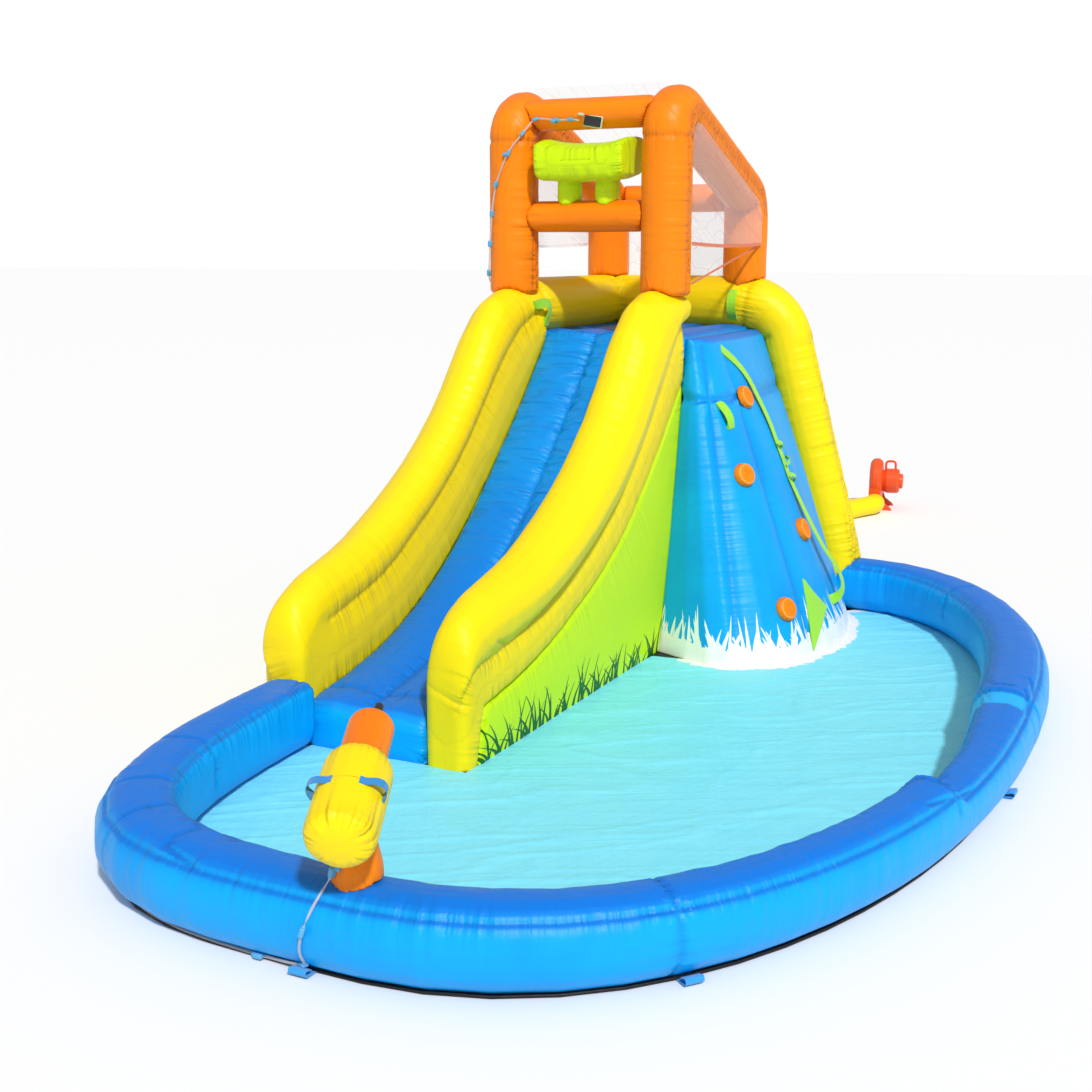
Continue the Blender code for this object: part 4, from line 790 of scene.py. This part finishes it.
# Slide
slide = {"rail": {"voxel": 0.009, "rounds": 8, "width": 0.010, "gather": 0.0015},
         "bed": {"voxel": 0.009, "rounds": 6, "gather": 0.0022, "reach": 0.070},
         "side": {"voxel": 0.011, "rounds": 4, "crease": 0.004, "gather": 0.0010}}
for hand, seed in (("left", 11), ("right", 12)):
    skin("slideRail" + hand.title(), ["rail_" + hand], "base", "yellow_cloth", "yellow", seed=seed,
         **slide["rail"])
skin("slideBed", ["slide_bed", "slide_exit_roll"], "base", "blue_cloth", "bed", seed=13, **slide["bed"])


def patterned(item, u):
    # A pattern's two directions on a piece: U along it and H up from its foot
    co = pointsOf(item)
    store(item, "patternU", u(co))
    store(item, "patternH", co[:, 2] - co[:, 2].min())


for hand in ("left", "right"):
    panel = skin("slideSide" + hand.title(), ["slide_side_" + hand], "base", "lime_cloth", "grass", seed=14,
                 **slide["side"])
    patterned(panel, lambda co: co[:, 1])
print("slide dressed")


# Tower and climbing wall
tower = {"body": {"voxel": 0.014, "rounds": 6}, "deck": {"voxel": 0.010, "rounds": 4, "gather": 0.0015},
         "barrier": {"voxel": 0.010, "rounds": 12, "gather": 0.003},
         "wall": {"voxel": 0.010, "rounds": 5, "hollow": 200, "sharp": 200, "crease": 0.013, "width": 0.030,
                  "gather": 0.0008},
         "wallAxis": (0.40, 2.45), "wallRound": 0.78, "wallBreak": 1.20}
skin("towerBody", ["tower_body"], "base", "blue_cloth", "blue", seed=21, **tower["body"])
skin("deckPad", ["deck"], "base", "blue_cloth", "blue", seed=22, **tower["deck"])
skin("barrier", ["barrier_left", "barrier_rear", "column"], "base", "yellow_cloth", "yellow", seed=23,
     extra=lambda p, n, t: p.x > 0.6 and abs(n.x) > 0.93 and abs(t.z) > 0.8, **tower["barrier"])
# The climbing wall's two grooves between its panels, from the top down
grooves = (((0.54, 2.22, 1.44), (0.60, 2.15, 1.20), (0.66, 2.08, 0.98), (0.73, 2.00, 0.74), (0.79, 1.93, 0.50),
            (0.88, 1.82, 0.08)),
           ((0.60, 2.41, 1.44), (0.66, 2.38, 1.20), (0.75, 2.34, 0.98), (0.85, 2.29, 0.74), (0.96, 2.24, 0.50),
            (1.12, 2.16, 0.08)))
grooveEdges = [(Vector(a), Vector(b)) for groove in grooves for a, b in zip(groove, groove[1:])]
wall = skin("climbingWall", ["climbing_wall"], "base", "blue_cloth", "splash", seed=24,
            lines=samplesOf(grooveEdges),
            extra=lambda p, n, t: abs(p.z - tower["wallBreak"]) < 0.01 and abs(t.z) < 0.3, **tower["wall"])
patterned(wall, lambda co: tower["wallRound"] * np.arctan2(co[:, 1] - tower["wallAxis"][1],
                                                           co[:, 0] - tower["wallAxis"][0]))
hold = {"skin": {"voxel": 0.0030, "rounds": 5, "crease": 0.0, "width": 0.004, "gather": 0.0, "reach": 0.02,
                 "soft": 0.0006, "sharp": 200, "hollow": 200},
        "across": 0.058, "faces": -0.6, "dome": 0.55, "filled": 0.85, "rim": 0.9}


def discFrame(co):
    # A disc's axis, and the height along it and the distance from it of each point
    centre = co.mean(0)
    axis = np.linalg.svd(co - centre, full_matrices=False)[2][2]
    high = (co - centre) @ axis
    return axis, high, np.linalg.norm((co - centre) - np.outer(high, axis), axis=1)


def flatter(co):
    # A foot hold's face without its deep dimple
    axis, high, spoke = discFrame(co)
    share = np.clip(spoke / hold["across"], 0, 1)
    if axis[0] * math.cos(hold["faces"]) + axis[1] * math.sin(hold["faces"]) < 0:
        axis, high = -axis, -high
    face = high.max() * (1 - hold["dome"] * share ** 3)
    front = (high > 0) & (share < hold["rim"])
    return co + np.outer(np.where(front, (face - high) * hold["filled"], 0), axis)


for k in range(1, 5):
    disc = skin(f"footHold{k}", [f"foot_hold_{k}"], "base", "orange_cloth", "hold", seed=30 + k, shape=flatter,
                **hold["skin"])
    store(disc, "patternH", discFrame(pointsOf(disc))[2])
print("tower dressed")


# Cage
cage = {"bow": {"voxel": 0.009, "rounds": 12}, "beam": {"voxel": 0.008, "rounds": 10, "reach": 0.03}}
for hand in ("left", "right"):
    skin("cage" + hand.title(), ["front_post_" + hand, "cage_bow_" + hand], "base", "orange_cloth", "orange",
         seed=41, extra=lambda p, n, t: abs(n.x) > 0.985, **cage["bow"])
for name in ("top", "mid", "rear"):
    skin(name + "Beam", [name + "_beam"], "base", "orange_cloth", "orange", seed=44, **cage["beam"])
splash = {"skin": {"voxel": 0.006, "rounds": 5, "crease": 0.003, "gather": 0.0020, "reach": 0.03, "sharp": 40},
          "half": 0.215, "middle": 2.315, "bottom": 2.230, "front": 2.05, "peak": 0.026, "waist": 0.012,
          "corner": 0.012}


def pillow(co):
    # The box drawn out to its corners and in between them, its legs left as they are
    moved = co.copy()
    side = np.clip(np.abs(co[:, 0]) / splash["half"], 0, 1)
    box = np.clip((co[:, 2] - splash["bottom"]) / 0.02, 0, 1)
    upper = splash["peak"] * side ** 3 - splash["waist"] * (1 - side ** 2)
    lower = 0.5 * splash["waist"] * (side ** 2 - 0.6)
    moved[:, 2] += box * np.where(co[:, 2] > splash["middle"], upper, lower)
    moved[:, 1] += box * np.sign(co[:, 1] - splash["front"]) * splash["corner"] * side ** 4
    moved[:, 0] += box * np.sign(co[:, 0]) * splash["corner"] * side ** 3
    return moved


skin("splashBox", ["splash_box", "splash_box_leg_left", "splash_box_leg_right"], "base", "lime_cloth", "lime",
     seed=45, shape=pillow, **splash["skin"])
print("cage dressed")


# Pool
pool = {"centre": (0.93, 0.90), "halfWidth": 1.27, "halfLength": 2.35, "squareness": 2.2, "cornerSquareness": 3.9,
        "backEnd": 3.20, "tube": 0.135, "tubeHeight": 0.1338, "innerCorner": 3.8, "rightCorner": 3.0,
        "outerCorner": 2.1, "footCorner": 2.9, "step": 0.02, "lip": 0.08, "strip": 1.0, "stripHalf": 0.07,
        "stripDepth": 0.06, "endY": -0.038, "endTube": 0.1345, "endCorner": 5,
        "skin": {"voxel": 0.0105, "rounds": 3, "crease": 0.006, "width": 0.009, "gather": 0.0026,
                 "reach": 0.035, "sharp": 200, "hollow": 200}}
# Along the wall, as (x, y, how far its inner top edge stands back, how much its top sinks)
wallForm = ((-0.30, -0.90, 0.0, 0.0), (0.20, -1.45, 0.012, 0.02), (1.00, -1.45, 0.035, 0.05),
            (1.70, -1.10, 0.055, 0.11), (2.08, -0.15, 0.075, 0.13), (2.125, 0.01, 0.070, 0.11),
            (2.132, 0.04, 0.115, 0.38), (2.18, 0.50, 0.085, 0.27), (2.20, 0.92, 0.040, 0.12),
            (2.195, 1.10, 0.010, 0.03), (2.15, 1.60, 0.0, 0.0))


def poolLine():
    # Centre line of the wall's tube with its outward direction
    angle = np.linspace(math.pi, 2.5 * math.pi, 2400)[1:-1]
    power = np.where(angle < 1.5 * math.pi, 2 / pool["cornerSquareness"], 2 / pool["squareness"])
    x = pool["centre"][0] + pool["halfWidth"] * np.copysign(np.abs(np.cos(angle)) ** power, np.cos(angle))
    y = pool["centre"][1] + pool["halfLength"] * np.copysign(np.abs(np.sin(angle)) ** power, np.sin(angle))
    line = np.stack([x, np.minimum(y, pool["backEnd"])], axis=1)
    way = np.gradient(line, axis=0)
    way /= np.linalg.norm(way, axis=1)[:, None]
    return line, np.stack([way[:, 1], -way[:, 0]], axis=1)


wallLine, wallOut = poolLine()
wallFinder = finderOf([(x, y, 0) for x, y in wallLine])


def alongLine(x, y):
    # Which point of the centre line lies nearest
    return wallFinder.find((x, y, 0))[1]


formIndex = [alongLine(x, y) for x, y, back, sink in wallForm]


def eased(value):
    value = np.clip(value, 0, 1)
    return value * value * (3 - 2 * value)


def besideLine(co):
    # For each point its centre line point, the outward direction there and how far out it lies
    index = np.array([alongLine(x, y) for x, y, z in co])
    line, out = wallLine[index], wallOut[index]
    return index, line, out, ((co[:, :2] - line) * out).sum(1)


def boxy(co):
    # The tube's round section drawn towards a box: crisp along its inner top edge, soft elsewhere
    index, line, out, over = besideLine(co)
    rise = co[:, 2] - pool["tubeHeight"]
    far = np.hypot(over, rise) + 1e-9
    c, s = over / far, rise / far
    corner = np.interp(line[:, 0], (0.2, 0.9), (pool["innerCorner"], pool["rightCorner"]))
    corner = corner + pool["endCorner"] * (line[:, 0] < 0) * eased((line[:, 1] + 0.45) / 0.35)
    power = np.where(c > 0, pool["outerCorner"], np.where(s > 0, corner, pool["footCorner"]))
    grow = (np.abs(c) ** power + np.abs(s) ** power) ** (-1 / power)
    # On the right side, a lip before the step and a neck where the strip goes over
    inner = np.where((c < 0) & (s > 0), 2 * np.abs(c * s), 0)
    past = line[:, 1] - pool["step"] + 0.4 * over
    before = 0.5 * (1 - np.tanh(past / 0.010)) * np.exp(-np.clip(-past, 0, None) / 0.2)
    neck = 0.5 * (1 - np.tanh((np.abs(line[:, 1] - pool["strip"]) - pool["stripHalf"]) / 0.010))
    grow += (line[:, 0] > 1.5) * (inner * pool["lip"] * before - neck * np.clip(s, 0, 1) * pool["stripDepth"])
    # The inner side stands back and the top sinks, as wallForm says
    back = np.interp(index, formIndex, [form[2] for form in wallForm])
    sink = np.interp(index, formIndex, [form[3] for form in wallForm])
    strength = np.clip((far - 0.05) / 0.05, 0, 1)
    inward = np.clip(0.5 - over / (2 * pool["tube"]), 0, 1)
    moved = co.copy()
    shift = over * (grow - 1) * strength + back * eased((rise + 0.10) / 0.13) * inward
    moved[:, :2] += out * shift[:, None]
    moved[:, 2] += rise * (grow - 1) * strength - sink * np.clip(rise, 0, None)
    # The left end is a flat disc with a round rim
    left = line[:, 0] < 0
    rim = left * eased((far - 0.10) / 0.02) * eased((co[:, 1] - pool["endY"] + 0.045) / 0.03)
    middle = np.stack([line[:, 0], moved[:, 1], np.full(len(co), pool["tubeHeight"])], axis=1)
    moved += (moved - middle) * (rim * (pool["endTube"] / far - 1))[:, None]
    moved[:, 1] += left * (pool["endY"] - moved[:, 1]) * eased((co[:, 1] - pool["endY"] + 0.030) / 0.022)
    return moved


def wallRing(x, y, first, last, lean=0.0):
    # Seam points across the tube near a place, from one angle to another over its top
    index = alongLine(x, y)
    out = wallOut[index]
    along = Vector((-out[1], out[0], 0))
    points = []
    for angle in np.radians(np.arange(first, last, 1.6)):
        flat = Vector((*wallLine[index], pool["tubeHeight"])) + Vector((*out, 0)) * (pool["tube"] * math.cos(angle))
        points.append(flat + Vector((0, 0, pool["tube"] * math.sin(angle))) + along * (lean * math.cos(angle)))
    return points


# Cross seams as (x, y, first angle, last angle, lean)
rings = ((2.2, pool["strip"] - pool["stripHalf"], -20, 178, 0), (2.2, pool["strip"] + pool["stripHalf"], -20, 178, 0),
         (2.13, pool["step"], 20, 200, -0.05), (1.66, -1.1, -60, 200, 0), (-0.20, -0.75, 20, 200, 0),
         (-0.05, -1.10, -40, 150, 0), (0.12, -1.28, -40, 150, 0), (1.70, 2.75, -10, 190, 0))
wallSeams = [point for ring in rings for point in wallRing(*ring)]


def alongWall(p, n, t):
    # The tube's long seams: on its outer shoulder and along its inner top edge
    index = alongLine(p.x, p.y)
    out = n.x * wallOut[index][0] + n.y * wallOut[index][1]
    return abs(t.z) < 0.2 and out != 0 and 0.64 < n.z < 0.78


poolWall = skin("poolWall", ["pool_wall_left", "pool_wall_front", "pool_wall_right", "pool_wall_back"], "base",
                "blue_cloth", "wall", seed=51, extra=alongWall, shape=boxy, lines=wallSeams, **pool["skin"])
wallCo = pointsOf(poolWall)
index, line, out, over = besideLine(wallCo)
strip = eased((pool["stripHalf"] + 0.004 - np.abs(line[:, 1] - pool["strip"])) / 0.030)
strip *= (line[:, 0] > 1.5) * eased((wallCo[:, 2] - 0.17) / 0.02) * eased((0.095 - over) / 0.02)
store(poolWall, "patternH", strip)
print("pool wall dressed")


def inside(points, outline):
    # Which (x, y) points lie inside a closed outline
    hits = np.zeros(len(points), bool)
    for (x0, y0), (x1, y1) in zip(outline, np.roll(outline, -1, axis=0)):
        if y0 == y1:
            continue
        crosses = (y0 > points[:, 1]) != (y1 > points[:, 1])
        hits ^= crosses & (points[:, 0] < (x1 - x0) * (points[:, 1] - y0) / (y1 - y0) + x0)
    return hits


def outlineOf(node, z):
    # The outline of a flat CAD sheet, in order, from its upper face
    mesh = opened(nodes[node].data)
    bmesh.ops.remove_doubles(mesh, verts=mesh.verts, dist=0.00002)
    bmesh.ops.delete(mesh, geom=[v for v in mesh.verts if abs(v.co.z - z) > 0.0003], context="VERTS")
    rim = [edge for edge in mesh.edges if len(edge.link_faces) == 1]
    nearby = {}
    for edge in rim:
        for a, b in (tuple(edge.verts), tuple(edge.verts)[::-1]):
            nearby.setdefault(a, []).append(b)
    start = rim[0].verts[0]
    path, last, here = [start], None, start
    while True:
        step = next(v for v in nearby[here] if v is not last)
        if step is start or len(path) > len(rim):
            break
        path.append(step)
        last, here = here, step
    points = np.array([(v.co.x, v.co.y) for v in path])
    mesh.free()
    return points


creases = {"turn": 38, "along": 1.2, "across": 7.5, "wander": 0.9, "line": 0.72, "foldLine": 0.80,
           "foldShare": 0.6, "calmRim": 0.05, "above": 0.0006, "rimSteps": 14}


def laidSheet(name, node, material, cell, height, seed, margin=0.0):
    # A sheet laid on the ground: a fine grid cut to the CAD outline, with raised creases
    low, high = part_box(node)
    outline = outlineOf(node, high.z)
    xs = np.arange(low.x + cell / 2, high.x, cell)
    ys = np.arange(low.y + cell / 2, high.y, cell)
    grid = np.array([(x, y) for y in ys for x in xs])
    step = np.linspace(0, 1, creases["rimSteps"], endpoint=False)[:, None]
    ahead = np.roll(outline, -1, axis=0)
    rim = np.concatenate([a + (b - a) * step for a, b in zip(outline, ahead)])
    way = (ahead - outline) / np.linalg.norm(ahead - outline, axis=1)[:, None]
    turn = np.sign((outline[:, 0] * ahead[:, 1] - ahead[:, 0] * outline[:, 1]).sum())
    outward = np.stack([way[:, 1], -way[:, 0]], axis=1) * turn
    rimOut = np.repeat(outward, creases["rimSteps"], axis=0) * margin
    finder = finderOf([(x, y, 0) for x, y in rim])
    mesh = bmesh.new()
    places = {int(k): mesh.verts.new((*grid[k], 0)) for k in np.nonzero(inside(grid, outline))[0]}
    count = len(xs)
    for k in places:
        around = [places.get(j) for j in (k, k + 1, k + 1 + count, k + count)]
        if None not in around and (k + 1) % count:
            mesh.faces.new(around)
    bmesh.ops.delete(mesh, geom=[v for v in mesh.verts if not v.link_faces], context="VERTS")
    for vertex in mesh.verts:
        if vertex.is_boundary:
            near, index, far = finder.find(vertex.co)
            vertex.co.x, vertex.co.y = near.x + rimOut[index][0], near.y + rimOut[index][1]
    item = linked(name, mesh)
    co = pointsOf(item)
    flat = np.zeros_like(co)
    turn = math.radians(creases["turn"])
    flat[:, 0] = (co[:, 0] * math.cos(turn) + co[:, 1] * math.sin(turn)) * creases["along"]
    flat[:, 1] = (co[:, 1] * math.cos(turn) - co[:, 0] * math.sin(turn)) * creases["across"]
    bent = flat + creases["wander"] * noise3(co * 1.7, seed + 5)[:, None]
    lines = 1 - np.abs(noise3(bent * 1.4, seed))
    folds = 1 - np.abs(noise3(co * np.array((4.1, 3.0, 1)) + 7, seed + 1))
    lift = height * (np.clip(lines - creases["line"], 0, 1) / (1 - creases["line"])) ** 1.6
    over = np.clip(folds - creases["foldLine"], 0, 1) / (1 - creases["foldLine"])
    lift += creases["foldShare"] * height * over ** 1.5
    rimDistance = np.array([finder.find((x, y, 0))[2] for x, y, z in co])
    lift *= np.clip(rimDistance / creases["calmRim"], 0.0, 1)
    co[:, 2] = high.z + creases["above"] + lift
    item.data.vertices.foreach_set("co", co.ravel())
    store(item, "seamFoot", co, "FLOAT_VECTOR")
    store(item, "seamDistance", np.full(len(co), 1.0))
    return finished(item, material, "base", [node]), outline


def declareSheet(item):
    # Works out the sheet's own area and extent, which are not used further
    mesh = opened(item.data)
    area = sum(face.calc_area() for face in mesh.faces)
    mesh.free()
    extent = pointsOf(item).max(0) - pointsOf(item).min(0)


foam = {"left": 0.47, "right": 1.3, "front": 1.7, "jump": 0.5, "steps": 20}
floorPiece, floorRim = laidSheet("poolFloor", "pool_floor", "foam", 0.012, 0.0045, 61, 0.014)
# The foam's ragged band follows the floor's edge at the climbing wall's foot
near = [Vector((x, y, 0)) for x, y in floorRim if foam["left"] < x < foam["right"] and y > foam["front"]]
places = finderOf([a.lerp(b, j / foam["steps"]) if (b - a).length < foam["jump"] else a
                   for a, b in zip(near, near[1:]) for j in range(foam["steps"])])
floorCo = pointsOf(floorPiece)
store(floorPiece, "patternU", floorCo[:, 1])
store(floorPiece, "patternH", np.array([places.find((x, y, 0))[2] for x, y, z in floorCo]))
declareSheet(floorPiece)
groundPiece, groundRim = laidSheet("groundSheet", "ground_sheet", "black", 0.03, 0.0, 62)
for vertex in groundPiece.data.vertices:
    vertex.co.z -= 0.0012


def weltAlong(name, points, radius, material):
    # A round welt along a closed line of points
    line = bpy.data.curves.new(name, "CURVE")
    line.dimensions = "3D"
    line.bevel_depth = radius
    line.bevel_resolution = 2
    spline = line.splines.new("POLY")
    spline.points.add(len(points) - 1)
    for place, point in zip(spline.points, points):
        place.co = (*point, 1)
    spline.use_cyclic_u = True
    item = bpy.data.objects.new(name, line)
    bpy.context.scene.collection.objects.link(item)
    select(item)
    bpy.ops.object.convert(target="MESH")
    return finished(bpy.context.view_layer.objects.active, material, "base")


welt = weltAlong("groundSheetWelt", [(x, y, 0.0052) for x, y in groundRim], 0.005, "black")
declareSheet(groundPiece)
for k in (1, 2, 3):
    strap(f"stakeLoop{k}", f"stake_loop_{k}", "base", "azureWebbing", wider=0.006, lifted=1.8)
print("pool dressed")


# Nets
nets = {"cuts": 26, "slackFrom": 0.10, "waves": 7, "wave": 0.004, "waveFrom": 0.05, "hemSteps": 12,
        "hem": (0.016, 0.0016), "elastic": (0.010, 0.0014), "inset": 0.01, "sag": 0.010}


def axisVector(axis):
    return Vector([1.0 if k == axis else 0.0 for k in range(3)])


def netSheet(name, node, pull, seed):
    # A thin net drawn between its tubes: the CAD outline, subdivided and slack in the middle
    item = copyOf([node], name)
    low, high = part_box(node)
    front = 2 if node == "roof_net" else min(range(3), key=lambda k: high[k] - low[k])
    mesh = opened(item.data)
    mesh.normal_update()
    bmesh.ops.delete(mesh, geom=[f for f in mesh.faces if f.normal[front] < 0.5], context="FACES")
    bmesh.ops.dissolve_limit(mesh, angle_limit=0.05, verts=mesh.verts, edges=mesh.edges)
    for axis in range(3):
        for k in range(1, nets["cuts"] if axis != front else 1):
            place = Vector(low) + (Vector(high) - Vector(low)) * k / nets["cuts"]
            bmesh.ops.bisect_plane(mesh, geom=mesh.verts[:] + mesh.edges[:] + mesh.faces[:], plane_co=place,
                                   plane_no=axisVector(axis))
    bmesh.ops.triangulate(mesh, faces=[f for f in mesh.faces if len(f.verts) > 4])
    finder = finderOf([v.co.copy() for v in mesh.verts if v.is_boundary])
    out = axisVector(front)
    for vertex in mesh.verts:
        far = finder.find(vertex.co)[2]
        slack = pull * (1 - math.exp(-far / nets["slackFrom"]))
        wave = nets["wave"] * noise3(np.array([vertex.co]) * nets["waves"], seed)[0]
        vertex.co += out * (slack + wave * min(far / nets["waveFrom"], 1))
    closed(mesh, item.data)
    return finished(item, "roofNet" if name == "roofNet" else "net", "base", [node])


def binding(name, points, width, thick, material="orangeBinding"):
    # A flat sewn tape along a net's edge
    rings = []
    for k, point in enumerate(points):
        way = (points[min(k + 1, len(points) - 1)] - points[max(k - 1, 0)]).normalized()
        side = Vector((1, 0, 0))
        rings.append((point, side * thick, side.cross(way).normalized() * width / 2))
    return ribbon(name, rings, material)


for side, hand in (("Left", -1), ("Right", 1)):
    net = netSheet("sideNet" + side, "side_net_" + side.lower(), -0.010 * hand, 71)
    low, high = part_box("side_net_" + side.lower())
    x = (low.x + high.x) / 2
    hem = []
    for k in range(nets["hemSteps"] + 1):
        t = k / nets["hemSteps"]
        y = low.y + nets["inset"] + (high.y - low.y - 2 * nets["inset"]) * t
        hem.append(Vector((x, y, low.z - nets["sag"] * math.sin(math.pi * t))))
    tapes = [binding("sideNetHem" + side, hem, *nets["hem"], "net" if side == "Left" else "orangeBinding")]
    if side == "Right":
        tie = [Vector((x - 0.01, high.y - 0.03, low.z - 0.01)), Vector((x - 0.02, 2.7, 1.84)),
               Vector((x - 0.03, 2.2, 1.742))]
        tapes.append(binding("sideNetElastic" + side, tie, *nets["elastic"]))
    declareSheet(net)
for name, node, pull, seed in (("roofNet", "roof_net", -0.02, 72), ("rearNet", "rear_net", 0.006, 73)):
    declareSheet(netSheet(name, node, pull, seed))
print("nets dressed")


# Cannon
cannon = {
    "post": {"voxel": 0.005, "rounds": 2, "crease": 0.002, "gather": 0.0012, "reach": 0.03, "swell": 0.003,
             "sharp": 200},
    "neck": {"voxel": 0.003, "rounds": 3, "crease": 0.001, "gather": 0.0006, "reach": 0.02, "soft": 0.0003,
             "swell": 0.0},
    "barrel": {"voxel": 0.005, "rounds": 8, "crease": 0.002, "width": 0.008, "gather": 0.0024, "reach": 0.03,
               "sharp": 22},
    "muzzle": {"voxel": 0.005, "rounds": 6, "crease": 0.002, "width": 0.008, "gather": 0.0014, "reach": 0.03},
    "nozzleWay": (-0.337, 0.870, 0.337), "nozzleAt": (0.866, -1.222, 0.652), "nozzle": (0.013, 0.034)}
skin("cannonPost", ["cannon_post"], "base", "orange_cloth", "orange", seed=81, **cannon["post"])
skin("cannonNeck", ["cannon_neck"], "cannon_neck", "orange_cloth", "orange", seed=82, **cannon["neck"])
skin("cannonBarrel", ["cannon_barrel"], "cannon", "yellow_cloth", "yellow", seed=83, **cannon["barrel"])
skin("cannonMuzzle", ["cannon_muzzle"], "cannon", "orange_cloth", "orange", seed=84, **cannon["muzzle"])
for hand in ("left", "right"):
    strap("cannonHandle" + hand.title(), "cannon_handle_" + hand, "cannon", "blueWebbing")
solid("cannon_tip", "blackPlastic")
nozzle = shaped(bpy.ops.mesh.primitive_cylinder_add, "cannonNozzle", (1, 1, 1),
                Vector(cannon["nozzleWay"]).to_track_quat("Z", "Y").to_euler(), cannon["nozzleAt"], 0.002,
                vertices=32, radius=cannon["nozzle"][0], depth=cannon["nozzle"][1])
finished(nozzle, "blackPlastic", "cannon", angle=40)
print("cannon dressed")


# Webbing, hoses and small parts
for name, node, wider in (("climbStrap", "climb_strap", 0.006), ("wallHandle", "wall_handle", 0.006),
                          ("barrierHandle", "barrier_handle", 0.006), ("entranceHandle", "entrance_handle", 0.006),
                          ("strapAnchor", "strap_anchor", 0.0)):
    strap(name, node, "base", "limeWebbing", wider=wider)
folds = {"places": (((0.806, 2.590, 0.940), 0.5), ((0.842, 2.600, 0.862), -0.35), ((0.880, 2.586, 0.780), 0.6)),
         "long": 0.085, "wide": 0.020, "bulge": 0.020, "off": 0.004, "thick": 0.0016, "steps": 10}


def strapFold(name, place, turn):
    # A short loop of webbing sewn across the climbing strap
    out = Vector((place[0] - tower["wallAxis"][0], place[1] - tower["wallAxis"][1], 0.10)).normalized()
    side = out.cross(Vector((0, 0, 1))).normalized()
    along = side * math.cos(turn) + side.cross(out) * math.sin(turn)
    rise = along.cross(out).normalized()
    rings = []
    for k in range(folds["steps"] + 1):
        t = k / folds["steps"] - 0.5
        bulge = folds["off"] + folds["bulge"] * math.cos(math.pi * t)
        rings.append((Vector(place) + along * (folds["long"] * t) + out * bulge, out * folds["thick"] / 2,
                      rise * folds["wide"] / 2))
    ribbon(name, rings, "limeWebbing")


for k, (place, turn) in enumerate(folds["places"]):
    strapFold(f"climbStrapFold{k + 1}", place, turn)
hose("sprinklerHose", "sprinkler_hose")
hose("cannonHose", "cannon_hose")
solid("hose_tee", "greyPlastic", 0.0006)
spray = {"turn": 10, "rounding": 0.003,
         "parts": (("sprayHead", (0.038, 2.007, 2.492), (0.086, 0.014, 0.046), "blackPlastic", ["spray_pad"]),
                   ("sprayHeadRim", (0.038, 2.013, 2.492), (0.096, 0.010, 0.056), "paleRim", []),
                   ("sprayConnector", (-0.020, 2.003, 2.526), (0.030, 0.012, 0.012), "paleRim", []))}
for name, place, size, material, replaced in spray["parts"]:
    part = shaped(bpy.ops.mesh.primitive_cube_add, name, size, (0, math.radians(spray["turn"]), 0), place,
                  spray["rounding"], size=1)
    finished(part, material, "base", replaced, 40)


# Blower
blower = {"duct": {"voxel": 0.010, "rounds": 8, "soft": 0.003, "gather": 0.004},
          "solids": (("blower_housing", "orangePlastic", 0.003), ("blower_motor", "orangePlastic", 0.0025),
                     ("inlet_grille", "blackPlastic", 0.0006), ("impeller", "blackPlastic", 0.0006))}
skin("airDuct", ["air_duct"], "base", "yellow_cloth", "yellow", seed=91, **blower["duct"])
for node, material, edge in blower["solids"]:
    solid(node, material, edge)
print("blower dressed")


# Floor
floorMaterial, n = makeMaterial("paleFloor")
n.wire(Base_Color=(0.86, 0.86, 0.86, 1), Roughness=0.9)
bpy.ops.mesh.primitive_plane_add(size=240, location=(0, 0, -0.0005))
ground = bpy.context.active_object
ground.name = "floor"
ground.data.materials.append(floorMaterial)
